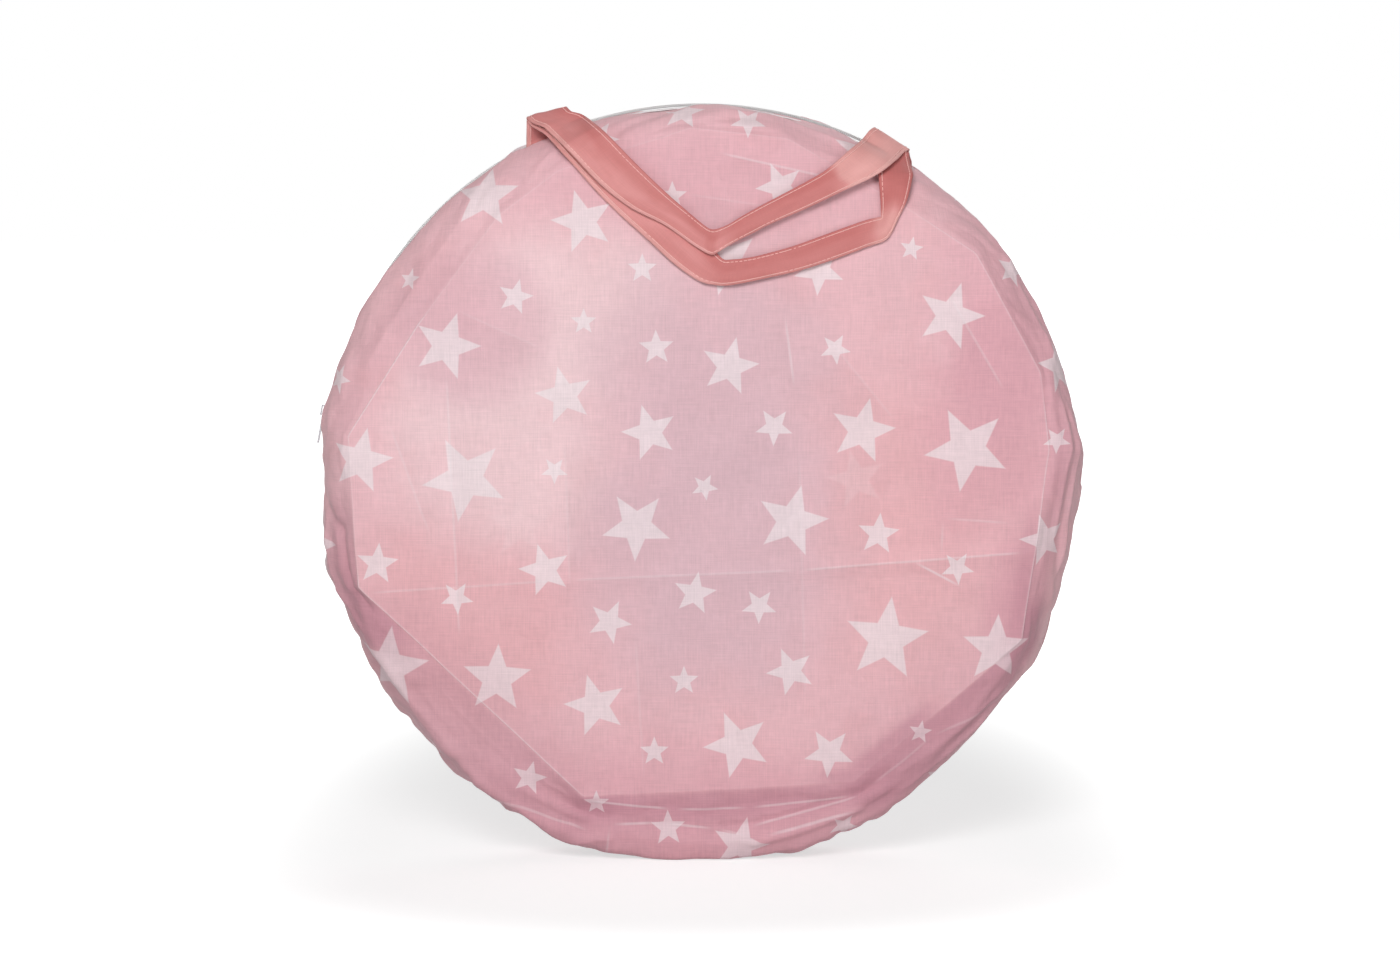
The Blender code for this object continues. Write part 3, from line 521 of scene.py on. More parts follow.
def print_cloth(colours, name, creases):
    """Thin woven cloth with a ground of several pinks, pressed creases and paler stars, and painted
    shade, highlight and light on its band, folds and creases.
    """
    finish = material(name, Sheen_Weight=0.12, Sheen_Roughness=0.45, Specular_IOR_Level=0.28)
    flat = finish.place("cloth")
    x, z, _ = finish.parts(flat)
    drift = (finish.noise(flat, 16.0, 3.0, 0.6) - 0.5) * 1.6
    cloud = finish.noise(flat, 26.0, 3.0, 0.6)
    ground = finish.mix(cloud.fade(0.45, 0.7) * 0.35, colours.pink, colours.salmon)
    # Patches of uneven tone, painted highlight and painted shade, as CLOTH_PATCHES lists them
    for tone, share, centre_x, centre_z, wide, high in CLOTH_PATCHES:
        off = ((x - centre_x) / wide) ** 2.0 + ((z - centre_z) / high) ** 2.0 + drift
        ground = finish.mix((1.0 - off.fade(-0.1, 1.5)) * share, ground, getattr(colours, tone))
    shade = finish.attribute("shade")
    # Painted shade on the band and the flat's edge, by the panel's shade attribute
    ground = finish.mix(shade * 0.85, ground, colours.shade)
    ground = finish.mix(star_mask(finish, "show_through", 0.06) * 0.28, ground, colours.pale)
    # Stars in painted shade turn towards lilac
    star = finish.mix(shade * 0.5, colours.star, colours.lilac)
    ground = finish.mix(star_mask(finish, "star", 0.02) * 0.66, ground, star)

    # edges gathers the painted highlight along the flat's fold and each crease; tones is the cloth's
    # uneven tone from the cloud plus painted light and shade beside each crease
    edges, tones = finish.attribute("fold"), (cloud - 0.5) * 0.5
    for start, end, height, width, tone in creases:
        line = [tuple(c * MM for c in point) for point in (start, end)]
        edge, step = pressed_line(x, z, *line, width * 1.6 * MM)
        edges = finish.math("MAXIMUM", edges, edge * (height - 0.6))
        tones = tones + step * tone
    # Painted highlight along folds and creases
    ground = finish.mix(edges * 0.5, ground, colours.star)
    warp, weft = (finish.noise(flat, way, 1.0) for way in ((1500.0, 55.0, 1.0), (55.0, 1500.0, 1.0)))
    weave = (warp + weft) * 0.5
    crumple = abs(finish.noise(flat, 30.0, 3.0, 0.55) - 0.5)
    mottle = finish.noise(flat, (24.0, 13.0, 1.0), 4.0, 0.68)
    slub = finish.noise(flat, (260.0, 170.0, 1.0), 2.0, 0.6)
    tint = weave * 0.38 + slub * 0.12 + mottle * 0.17 + tones * 0.035
    finish.set("Base Color", finish.shade(ground, tint + 0.665))
    finish.set("Roughness", weave * 0.2 + 0.56)
    finish.bump(weave * 0.14 + crumple * 3.0 + edges * 0.25, 0.001, 0.8)
    return finish.owner


def strap_cloth(colours, name, patches):
    """Denser woven strap with a dark inner edge and a pale outer edge, partly thread colour and partly
    painted highlight. patches of painted shade and painted light lie along its length.
    """
    finish = material(name, Sheen_Weight=0.1, Specular_IOR_Level=0.3)
    flat = finish.place("cloth")
    along, across, _ = finish.parts(flat)
    threads = finish.noise(flat, (60.0, 1600.0, 1.0), 2.0)
    picks = finish.noise(flat, (1600.0, 90.0, 1.0), 1.0)
    cloud = finish.noise(flat, (22.0, 60.0, 1.0), 2.0)
    dark = cloud.fade(0.4, 0.7) * 0.4 + across.fade(-0.003, 0.008) * 0.6
    base = finish.mix(dark, colours.strap, colours.strap_dark)
    # A pale outer edge: thread-coloured hem and a painted highlight along the edge
    hem_and_highlight = 1.0 - across.fade(-0.0108, -0.0090)
    base = finish.mix(hem_and_highlight * 0.35, base, colours.thread)
    spot = along + (cloud - 0.5) * 0.012
    # Painted shade and painted light along runs of the strap
    for start, end, soft, share, tone in patches:
        inside = spot.fade(start - soft, start + soft) * (1.0 - spot.fade(end - soft, end + soft))
        base = finish.mix(inside * share, base, getattr(colours, tone))
    weave = threads * 0.6 + picks * 0.4
    finish.set("Base Color", finish.shade(base, weave * 0.26 + 0.87))
    finish.set("Roughness", weave * 0.2 + 0.5)
    finish.bump(weave, 0.0004, 0.4)
    return finish.owner


def woven_finish(name, colour, other, way, detail, cloud, depth, roughness):
    """Plain cloth or tape of two tones. way draws out its threads, and cloud is the tones' noise."""
    finish = material(name, Roughness=roughness)
    place = finish.place()
    threads = finish.noise(place, way, detail)
    size, crinkle, rough, low, high = cloud
    patch = finish.noise(place, size, crinkle, rough).fade(low, high)
    base = finish.mix(patch * 0.5, colour, other)
    finish.set("Base Color", finish.shade(base, threads * 0.2 + 0.9))
    finish.bump(threads, 0.0004, depth)
    return finish.owner


def tape_cloth(colours):
    """Ribbed woven tape."""
    way, cloud = (900.0, 2600.0, 900.0), (30.0, 3.0, 0.6, 0.45, 0.75)
    return woven_finish("zip_tape_cloth", colours.tape, srgb(222, 214, 214), way, 1.0, cloud, 0.5, 0.8)


def lining_cloth(colours, name, scale):
    """Plain thin cloth inside the bag."""
    way, cloud = (scale, 40.0, scale), (18.0, 2.0, 0.5, 0.4, 0.7)
    return woven_finish(name, colours.lining, colours.pale, way, 2.0, cloud, 0.4, 0.75)


def thread_finish(colours):
    """Twisted sewing thread."""
    finish = material("stitch_thread", Roughness=0.6, Sheen_Weight=0.15)
    fleck = finish.noise(finish.place(), 900.0, 2.0)
    finish.set("Base Color", finish.mix(fleck * 0.4, colours.thread, colours.strap))
    finish.bump(fleck, 0.0001, 0.3)
    return finish.owner


def coil_plastic(colours):
    """Drawn nylon of the zip's coils."""
    finish = material("zip_coil_plastic")
    haze = finish.noise(finish.place(), 160.0, 2.0)
    finish.set("Base Color", finish.mix(haze * 0.3, colours.coil, srgb(224, 218, 218)))
    finish.set("Roughness", haze * 0.2 + 0.28)
    return finish.owner


def zip_metal(colours):
    """White lacquer over cast metal, a little worn."""
    finish = material("zip_metal", Coat_Weight=0.4)
    speck = finish.noise(finish.place(), 1400.0, 3.0, 0.6)
    worn = speck.fade(0.66, 0.74)
    finish.set("Base Color", finish.mix(worn * 0.5, colours.lacquer, srgb(176, 176, 180)))
    finish.set("Metallic", worn * 0.4)
    finish.set("Roughness", speck * 0.25 + 0.2)
    finish.bump(speck, 0.00005, 0.3)
    return finish.owner


def spring_steel(colours):
    """Oiled spring wire."""
    finish = material("spring_steel", Metallic=1.0)
    drawn = finish.noise(finish.place(), 420.0, 3.0, 0.6)
    finish.set("Base Color", finish.mix(drawn * 0.6, colours.steel, srgb(92, 94, 100)))
    finish.set("Roughness", drawn * 0.3 + 0.2)
    return finish.owner


def fade(value, low, high):
    """0 below low, 1 above high, and a soft change between them."""
    share = np.clip((value - low) / (high - low), 0.0, 1.0)
    return share * share * (3.0 - 2.0 * share)


def hump(value, middle, width):
    """1 at the middle, falling off softly on both sides of it."""
    return np.exp(-(((value - middle) / width) ** 2))


def hills(x, y, size, seed):
    """Soft random heights from -1 to 1, with hills about size across."""
    table = np.random.default_rng(seed).uniform(-1.0, 1.0, (64, 64))
    a, b = x / size, y / size
    i, j = np.floor(a).astype(int), np.floor(b).astype(int)
    s, t = fade(a - i, 0.0, 1.0), fade(b - j, 0.0, 1.0)
    low = table[i % 64, j % 64] * (1 - s) + table[(i + 1) % 64, j % 64] * s
    high = table[i % 64, (j + 1) % 64] * (1 - s) + table[(i + 1) % 64, (j + 1) % 64] * s
    return low * (1 - t) + high * t


def chord_reach(corners, angle):
    """Radius, at each angle, of an outline that runs straight from corner to corner."""
    starts = np.radians([c[0] for c in corners])
    reach = np.array([c[1] for c in corners])
    turned = np.mod(angle, math.tau)
    near = np.searchsorted(starts, turned, side="right") - 1
    far = (near + 1) % len(corners)
    span = np.mod(starts[far] - starts[near], math.tau)
    along = np.mod(turned - starts[near], math.tau)
    return (
        reach[near] * reach[far] * np.sin(span)
        / (reach[near] * np.sin(along) + reach[far] * np.sin(span - along))
    )


def arc_share(angle, start, end, soft):
    """1 between two angles in degrees, fading out over soft degrees past them."""
    off = np.degrees(np.mod(angle, math.tau)) - (start + end) / 2.0
    off = np.abs(np.mod(off + 180.0, 360.0) - 180.0)
    return 1.0 - fade(off, (end - start) / 2.0, (end - start) / 2.0 + soft)


def ridge(x, z, start, end, height, width):
    """A pressed crease from start to end, highest along its line and fading at its ends."""
    along, across, length = line_place(x, z, start, end)
    ends = fade(along, -width, width) * (1.0 - fade(along, length - width, length + width))
    return height * ends * np.clip(1.0 - np.abs(across) / width, 0.0, 1.0) ** 1.4


def rim_reach(sizes, angle):
    """Radius of the rim at each angle, with its corners rounded off."""
    steps = np.radians((-1.6, -0.8, 0.0, 0.8, 1.6))
    return np.mean([chord_reach(RIM_CORNERS, angle + s) for s in steps], axis=0) * sizes.rim_radius


def hoop_frame(sizes, number):
    """A folded hoop's centre, its radius, and how far its loops lie from that circle."""
    low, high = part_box(f"hoop_wire_{number}")
    offset = (high.y - low.y) / 2 - sizes.wire_radius
    radius = (high.x - low.x) / 2 - math.cos(math.pi / 6) * (offset + sizes.wire_radius)
    height = low.z + radius + offset + math.cos(math.pi / 6) * sizes.wire_radius
    return Vector((0.0, (low.y + high.y) / 2, height)), radius, offset


def hoop_points(sizes, number, turn):
    """A hoop's wire, which goes round HOOP_LOOPS times. One loop lies outermost at the foot."""
    centre, radius, offset = hoop_frame(sizes, number)
    roll = (turn - 1.5 * math.pi) / HOOP_LOOPS
    ring = radius + offset * np.cos(roll)
    spots = (ring * np.cos(turn), offset * np.sin(roll), ring * np.sin(turn))
    return np.stack(spots, axis=-1) + np.array(centre)


def loop_crossings(sizes, angle, side):
    """Where the hoops' loops beside a panel cross the plane at each angle: radius and depth."""
    crossings = []
    for number in (2 + side, 2):
        centre, radius, offset = hoop_frame(sizes, number)
        drop = sizes.centre_height - centre.z
        for loop in range(HOOP_LOOPS):
            lean = np.zeros_like(angle)
            for _ in range(3):
                roll = (angle + lean + math.tau * loop - 1.5 * math.pi) / HOOP_LOOPS
                ring = radius + offset * np.cos(roll)
                line = -drop * np.sin(angle) + np.sqrt(ring**2 - (drop * np.cos(angle)) ** 2)
                lean = np.arcsin(drop * np.cos(angle) / ring)
            crossings.append((line, side * (centre.y + offset * np.sin(roll))))
    return crossings


def tent_edge(sizes, angle):
    """Radius of the folded tent cloth at each angle, and its depth."""
    low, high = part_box("tent_cloth_1")
    drop = sizes.centre_height - (low.z + high.z) / 2
    disc = (high.x - low.x) / 2
    return -drop * np.sin(angle) + np.sqrt(disc**2 - (drop * np.cos(angle)) ** 2), -low.y


def taut(sizes, angle, side, radius, depth):
    """Cloth pulled tight over its own plain shape and the hoops, point by point from face to rim."""
    lean = np.linspace(math.pi / 2, 0.0, PROFILE_STEPS)
    clear = sizes.sleeve_radius + CLOTH_GAP
    loops = loop_crossings(sizes, angle, side)
    made = []
    for k in range(len(angle)):
        outs = [radius[k]] + [line[k] + clear * np.cos(lean) for line, _ in loops]
        backs = [depth[k]] + [middle[k] + clear * np.sin(lean) for _, middle in loops]
        outs, backs = np.concatenate(outs), np.concatenate(backs)
        far = np.argmax(np.outer(np.cos(lean), outs) + np.outer(np.sin(lean), backs), axis=1)
        made.append((outs[far], backs[far]))
    made = np.array(made)
    return made[:, 0], made[:, 1]


def panel_profile(sizes, angle, side):
    """Radius, depth and cloth length of a panel from its flat's edge to its own edge at the rim."""
    half = sizes.half_depth
    face = chord_reach(FACE_CORNERS, angle) * sizes.rim_radius
    rim = rim_reach(sizes, angle)
    left, right = math.degrees(sizes.zip_left), math.degrees(sizes.zip_right)
    zipped = arc_share(angle, right - 2.0, left + 1.0, 4.0)
    foot = arc_share(angle, 250.0, 296.0, 16.0)
    lower = arc_share(angle, 200.0, 340.0, 25.0)
    slope = (0.30 + 0.45 * lower * (1.0 - foot))[:, None]
    power = (2.3 + 2.2 * foot)[:, None]
    edge = (zipped * sizes.zip_mouth + (1.0 - zipped) * 0.0004)[:, None]
    last = np.arcsin((edge / (half * (1.0 - slope))) ** (power / 2.0))
    step = np.linspace(0.0, 1.0, PROFILE_STEPS)[None, :]
    turn = math.pi / 2 + (last - math.pi / 2) * step
    out = np.maximum(np.cos(turn), 0.0) ** (2.0 / power)
    back = np.sin(turn) ** (2.0 / power)
    radius = face[:, None] + (rim - face)[:, None] * out
    depth = half * (1.0 - slope * out - (1.0 - slope) * (1.0 - back))
    radius, depth = taut(sizes, angle, side, radius, depth)
    run = np.hypot(np.diff(radius, axis=1), np.diff(depth, axis=1))
    return radius, depth, np.concatenate([np.zeros((len(angle), 1)), np.cumsum(run, axis=1)], axis=1)


def round_places(sizes, turn, radius, depth):
    """Points at angles round the bag's centre."""
    return np.stack([radius * np.cos(turn), depth, sizes.centre_height + radius * np.sin(turn)], axis=-1)


def panel_points(sizes, side):
    """Points of a panel by segment and ring, their flat places on the cut cloth, and its marks of painted
    highlight and painted shade.
    """
    angle = np.linspace(0.0, math.tau, SEGMENTS, endpoint=False)
    turn = angle[:, None]
    face = chord_reach(FACE_CORNERS, angle)[:, None] * sizes.rim_radius
    inner = np.concatenate([np.linspace(0.0, 0.970, FACE_RINGS - 2), [0.985, 0.995, 1.0]])
    outer = np.concatenate(
        [[0.006, 0.018, 0.04], np.linspace(0.07, 0.975, BAND_RINGS - 5), [0.988, 1.0]]
    )
    *lines, run = panel_profile(sizes, angle, side)
    on_face, reach = face * inner, outer * run[:, -1:]
    out, back = ([np.interp(*row) for row in zip(reach, run, line)] for line in lines)
    radius = np.concatenate([on_face, out], axis=1)
    depth = np.concatenate([np.full_like(on_face, sizes.half_depth), back], axis=1)
    flat = np.concatenate([on_face, face + reach], axis=1)
    flat_x, flat_z = flat * np.cos(turn), flat * np.sin(turn)
    share = np.concatenate([np.zeros(FACE_RINGS + 1), outer])[None, :]

    points = round_places(sizes, turn, radius, side * depth)
    around = np.roll(points, -1, axis=0) - np.roll(points, 1, axis=0)
    outward = np.cross(around, np.gradient(points, axis=1)) * side
    outward[:, 0] = (0.0, side, 0.0)
    outward /= np.maximum(np.linalg.norm(outward, axis=-1, keepdims=True), 1e-12)
    edge = slice(FACE_RINGS - 2, FACE_RINGS + 4)
    outward[:, edge] = outward[:, edge].mean(axis=1, keepdims=True)
    relief = panel_relief(sizes, side, turn, share, flat_x, flat_z, run[:, -1:])
    points += outward * relief[..., None]

    zipped = arc_share(turn, math.degrees(sizes.zip_right), math.degrees(sizes.zip_left), 4.0)
    reach = np.hypot(points[..., 0], points[..., 2] - sizes.centre_height)
    reach -= (0.0014 + 0.0012 * zipped) * fade(share, 0.93, 1.0)
    deep = points[..., 1] * side
    for line, middle in loop_crossings(sizes, angle, side):
        off_out, off_back = reach - line[:, None], deep - middle[:, None]
        gap = np.maximum(np.hypot(off_out, off_back), 1e-6)
        push = np.maximum(1.0, (sizes.sleeve_radius + CLOTH_GAP) / gap) - 1.0
        push = np.where((share > 0) & ((off_out > 0) | (off_back > 0)), push, 0.0)
        reach, deep = reach + off_out * push, deep + off_back * push
    line, front = tent_edge(sizes, angle)
    clear = np.maximum(deep, front + sizes.cloth + 0.0003)
    deep = np.where(reach < line[:, None] + 0.001, clear, deep)
    points = round_places(sizes, turn, reach, deep * side)
    height = points[..., 2]
    points[..., 2] = 0.5 * (height + np.sqrt(height**2 + FOOT_ROUND**2)) - 0.0002
    whole = np.concatenate([inner, np.ones(BAND_RINGS)])[None, :]
    return points, flat_x, flat_z, painted_light_marks(turn, share, whole)


def painted_light_marks(turn, share, whole):
    """How strong the painted highlight along the fold round the flat is, and how much painted shade the
    cloth has, by segment and ring.
    """

    def arc(start, end, soft):
        return arc_share(turn, start, end, soft)

    # Painted highlight: the pale line along the fold round the flat
    pressed = 0.25 - 0.20 * arc(252.0, 328.0, 5.0)
    for start, end, more in EDGE_HIGHLIGHT:
        pressed = pressed + more * arc(start, end, 4.0)
    fold = np.zeros((SEGMENTS, share.size))
    fold[:, FACE_RINGS] = pressed[:, 0]
    past = fade(share, 0.0, 0.03)
    # Painted shade on the band where the cloth turns to the rim
    band = (
        0.58 * arc(205.0, 240.0, 22.0) * (1.0 - 0.3 * fade(share, 0.7, 0.9))
        + 0.60 * arc(186.0, 202.0, 8.0) * hump(share, 0.30, 0.40)
        + 0.22 * arc(140.0, 168.0, 8.0) * (1.0 - fade(share, 0.4, 0.8))
        + 0.45 * arc(338.0, 368.0, 8.0) * hump(share, 0.22, 0.22)
        + arc(252.0, 296.0, 8.0) * (0.6 * hump(share, 0.16, 0.2) + 0.22)
        + 0.95 * arc(302.0, 336.0, 8.0) * (1.0 - fade(share, 0.4, 0.8))
    )
    # Painted shade on the flat next to its edge, where the cloth turns in
    turned_in_shade = 0.6 * arc(296.0, 312.0, 8.0) + 0.5 * arc(336.0, 352.0, 7.0)
    near_edge_shade = 0.32 * arc(205.0, 240.0, 15.0) + 0.26 * arc(304.0, 340.0, 12.0)
    flat = fade(whole, 0.93, 0.975) * turned_in_shade + fade(whole, 0.76, 1.0) * near_edge_shade
    return {"fold": fold, "shade": np.clip(past * band + (1.0 - past) * flat, 0.0, 1.0)}


def panel_relief(sizes, side, turn, share, x, z, band):
    """Height of the cloth's folds over the panel's plain shape."""
    front = side < 0
    seed = 11 if front else 31
    face = 1.0 - fade(share, 0.0, 0.12)
    relief = 0.0010 * hills(x, z, 0.060, seed) + 0.0006 * hills(x, z, 0.026, seed + 1)
    for number in range(8):
        rng = np.random.default_rng(seed + 40 + number)
        way, period, shift = rng.uniform(0.0, math.pi), rng.uniform(0.05, 0.11), rng.uniform(0.0, 1.0)
        wave = (x * math.cos(way) + z * math.sin(way)) / period + shift
        tent = np.abs(np.mod(wave, 1.0) - 0.5) * 2.0 - 0.5
        relief = relief + 0.0020 * tent * fade(hills(x, z, 0.09, seed + 60 + number), 0.0, 0.7)
    relief = np.clip(relief * 0.7, -0.0019, 0.0012) * face
    for start, end, height, width, _ in FRONT_CREASES if front else BACK_CREASES:
        line = [np.array(p) * MM for p in (start, end)]
        relief = relief + face * ridge(x * -side, z, *line, height * MM, width * MM)

    onto = fade(share, 0.02, 0.2) * (1.0 - fade(share, 0.97, 1.0))
    along = turn * sizes.rim_radius
    for (start, low), (end, high), height, width in BAND_FOLDS:
        start, end = (start, end) if front else (540 - end, 540 - start)
        off = np.mod(turn - math.radians((start + end) / 2) + math.pi, math.tau) - math.pi
        half = math.radians(end - start) / 2 * sizes.rim_radius
        line = ((-half, low * 0.045), (half, high * 0.045))
        places = off * sizes.rim_radius, share * band
        relief = relief + onto * ridge(*places, *line, height * 1.3 * MM, width * MM)
    lower = arc_share(turn, 195.0, 300.0, 20.0)
    gather = hills(along, share * 0.02, 0.0065, 3) + 0.6 * hills(along, share * 0.03, 0.012, 4)
    relief = relief + gather * fade(share, 0.35, 0.95) * (0.0004 + 0.0009 * lower)
    slack = hills(along, share * 0.05, 0.030, seed + 5)
    slack = slack + 0.6 * hills(along + share * 0.06, share * 0.05, 0.016, seed + 6)
    relief = relief + np.maximum(slack, -0.25) * onto * 0.0020
    foot = arc_share(turn, 248.0, 300.0, 10.0)
    return relief + foot * (0.0022 * hump(share, 0.62, 0.2) - 0.0024 * hump(share, 0.24, 0.13))


def grid(columns, rows):
    """A bmesh grid, and the column and row of each of its vertices."""
    shape = bmesh.new()
    bmesh.ops.create_grid(shape, x_segments=columns, y_segments=rows, size=0.5)
    place = np.array([v.co for v in shape.verts]) + 0.5
    return shape, *(np.rint(place[:, k] * n).astype(int) for k, n in ((0, columns), (1, rows)))


def lay(shape, places):
    """Moves each vertex of a bmesh to its place."""
    for vert, place in zip(shape.verts, places):
        vert.co = place


def face_out(shape, way):
    """Turns a sheet round if its faces look away from way, which gives a direction at a face's centre."""
    shape.normal_update()
    if sum(f.normal.dot(way(f.calc_center_median())) for f in shape.faces) < 0:
        bmesh.ops.reverse_faces(shape, faces=shape.faces)


def linked(name, mesh, look):
    """An object at the origin that shows a mesh in a material."""
    mesh.materials.clear()
    mesh.materials.append(look)
    piece = bpy.data.objects.new(name, mesh)
    bpy.context.scene.collection.objects.link(piece)
    return piece


def finished(name, shape, look, smooth=True):
    """An object at the origin, made of a bmesh."""
    mesh = bpy.data.meshes.new(name)
    shape.to_mesh(mesh)
    shape.free()
    if smooth:
        mesh.shade_smooth()
    return linked(name, mesh, look)


def thicken(piece, thickness, offset=-1.0):
    wall = piece.modifiers.new("thickness", "SOLIDIFY")
    wall.thickness = thickness
    wall.offset = offset


def belongs(piece, body, slot, *nodes):
    """Ties a piece to its body and hides the CAD nodes that it stands for. slot is not used."""
    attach(piece, body)
    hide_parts(*nodes)


def add_uv(mesh, name, places):
    """A UV map from one place per face corner."""
    layer = mesh.uv_layers.new(name=name)
    layer.data.foreach_set("uv", np.ascontiguousarray(places, dtype=np.float32).ravel())


def face_corners(mesh):
    """Vertex and face of each face corner."""
    corner = np.empty(len(mesh.loops), np.int32)
    mesh.loops.foreach_get("vertex_index", corner)
    total = np.empty(len(mesh.polygons), np.int32)
    mesh.polygons.foreach_get("loop_total", total)
    return corner, np.repeat(np.arange(len(total)), total)


def print_places(stars, places, face):
    """Each corner's place on the star nearest to its face, where 1 is the tip radius."""
    count = np.bincount(face)
    centre = np.stack([np.bincount(face, places[:, k]) / count for k in (0, 1)], axis=1)
    stars = np.array(stars)
    gap = np.hypot(*(centre[:, None, :] - stars[None, :, :2]).transpose(2, 0, 1)) - stars[None, :, 2]
    star = stars[np.argmin(gap, axis=1)][face]
    off = (places - star[:, :2]) / star[:, 2:3]
    cos, sin = np.cos(np.radians(star[:, 3])), np.sin(np.radians(star[:, 3]))
    return np.stack([off[:, 0] * cos + off[:, 1] * sin, off[:, 1] * cos - off[:, 0] * sin], axis=1)


def in_metres(stars):
    return [(x * MM, z * MM, radius * MM, turn) for x, z, radius, turn in stars]


def repeated_stars(shift):
    """Every star of the print that can fall on a panel."""
    stars = []
    for across in range(-2, 3):
        for down in range(-2, 3):
            for x, z, radius, turn in STARS:
                x = x + across * PRINT_ACROSS[0] + down * PRINT_DOWN[0] + shift[0]
                z = z + across * PRINT_ACROSS[1] + down * PRINT_DOWN[1] + shift[1]
                if math.hypot(x, z) < PRINT_REACH:
                    stars.append((x, z, radius, turn))
    return stars


def build_panel(name, side, sizes, cloth):
    """A panel: the polar disc, moved point by point to the shape of its cloth."""
    points, flat_x, flat_z, marks = panel_points(sizes, side)
    shape, segment, ring = grid(SEGMENTS, FACE_RINGS + BAND_RINGS)
    segment = segment % SEGMENTS
    lay(shape, points[segment, ring])
    kept = shape.verts.layers.int.new("kept")
    for number, vert in enumerate(shape.verts):
        vert[kept] = number
    bmesh.ops.remove_doubles(shape, verts=shape.verts, dist=1e-6)
    order = np.array([v[kept] for v in shape.verts])
    segment, ring = segment[order], ring[order]
    face_out(shape, lambda spot: Vector((0.0, side, 0.0)))
    piece = finished(name, shape, cloth)
    corner, face = face_corners(piece.data)
    places = np.stack([flat_x[segment, ring] * -side, flat_z[segment, ring]], axis=1)[corner]
    add_uv(piece.data, "cloth", places)
    for uv_map, stars in (("star", repeated_stars(PRINT_SHIFT[side])), ("show_through", SHOW_THROUGH)):
        add_uv(piece.data, uv_map, print_places(in_metres(stars), places, face))
    for mark, amount in marks.items():
        layer = piece.data.attributes.new(mark, "FLOAT", "POINT")
        layer.data.foreach_set("value", amount[segment, ring].astype(np.float32))
    thicken(piece, sizes.cloth)
    return piece


def smooth_rows(rows, steps):
    """Rows of points on a smooth curve (Catmull-Rom) through the given rows."""
    rows = np.array(rows)
    padded = np.concatenate([rows[:1], rows, rows[-1:]])
    before, here, there, after = padded[:-3], padded[1:-2], padded[2:-1], padded[3:]
    made = []
    for k in range(len(here)):
        for t in np.arange(steps) / steps:
            pull_in = 2 * before[k] - 5 * here[k] + 4 * there[k] - after[k]
            pull_out = 3 * here[k] - before[k] - 3 * there[k] + after[k]
            made.append(here[k] + 0.5 * (t * (there[k] - before[k]) + t * t * pull_in + t**3 * pull_out))
    return np.array(made + [rows[-1]])


def fold_height(x):
    """Height of the line from fold to fold."""
    share = (x - FOLD_LEFT.x) / (FOLD_RIGHT.x - FOLD_LEFT.x)
    return FOLD_LEFT.z + share * (FOLD_RIGHT.z - FOLD_LEFT.z)


def drape_depth(sizes, x, z, layer):
    """Depth of a handle that comes forward over the front panel. layer is 0 inner, 1 outer."""
    height = z - sizes.centre_height
    face = float(chord_reach(FACE_CORNERS, np.array([math.atan2(height, x)]))[0]) * sizes.rim_radius
    share = min(1.0, max(0.0, (math.hypot(x, height) - face) / (sizes.rim_radius - face)))
    panel = sizes.half_depth * (1.0 - share**2.5) ** 0.4
    drop = min(1.0, max(0.0, (fold_height(x) - z) / 0.050))
    free = FOLD_LEFT.y - (sizes.half_depth + STRAP_GAP + FOLD_LEFT.y) * (1.0 - (1.0 - drop) ** 2.2)
    return min(free, -panel - STRAP_GAP) - layer * (0.0052 - 0.0026 * drop)


def fold_row(sizes, fold, degrees, gap):
    """Points across a strap near its fold, gap along a direction from straight up to the front."""
    turn = math.radians(degrees)
    axis = Matrix.Rotation(FOLD_LEAN[fold.x > 0], 3, "Y") @ Vector((1.0, 0.0, 0.0))
    centre = fold + Vector((0.0, -math.sin(turn), math.cos(turn))) * gap
    return [list(centre + axis * (sizes.strap_width * s)) for s in (-0.5, 0.0, 0.5)]


def seam_row(sizes, fold, depth, lift):
    """Points across a strap's sewn end, at a height over the zip tape."""
    row = []
    for side in (-0.5, 0.0, 0.5):
        x = fold.x + sizes.strap_width * side
        row.append([x, depth, sizes.centre_height + math.sqrt((sizes.tape_radius + lift) ** 2 - x**2)])
    return row


def end_rows(sizes, fold, layer):
    """Rows of a strap from its sewn end beside the zip, over its fold, to where it comes forward."""
    rows = [seam_row(sizes, fold, SEAM_DEPTH[layer], lift) for lift in (0.0008, 0.004)]
    if layer:
        top = fold_row(sizes, fold, 262.0, 0.0022)
        rows.append([[x, y + 0.009, z + 0.0006] for x, y, z in top])
        rows += [top, fold_row(sizes, fold, 0.0, 0.0012)]
    else:
        rows += [fold_row(sizes, fold, 194.0, 0.0022), fold_row(sizes, fold, 0.0, -0.0010)]
    lead_x, lead_z = FOLD_LEAD[fold.x > 0][layer]
    forward = -0.0026 - 0.0020 * layer
    rows.append([[x + lead_x, y + forward, z + lead_z] for x, y, z in rows[-1]])
    return rows


def rows_at(places, run, rows):
    """Rows of three points at places along a strap whose own rows lie at run."""
    spread = [np.interp(places, run, rows[:, c, k]) for c in range(3) for k in range(3)]
    return np.stack(spread, axis=-1).reshape(len(places), 3, 3)


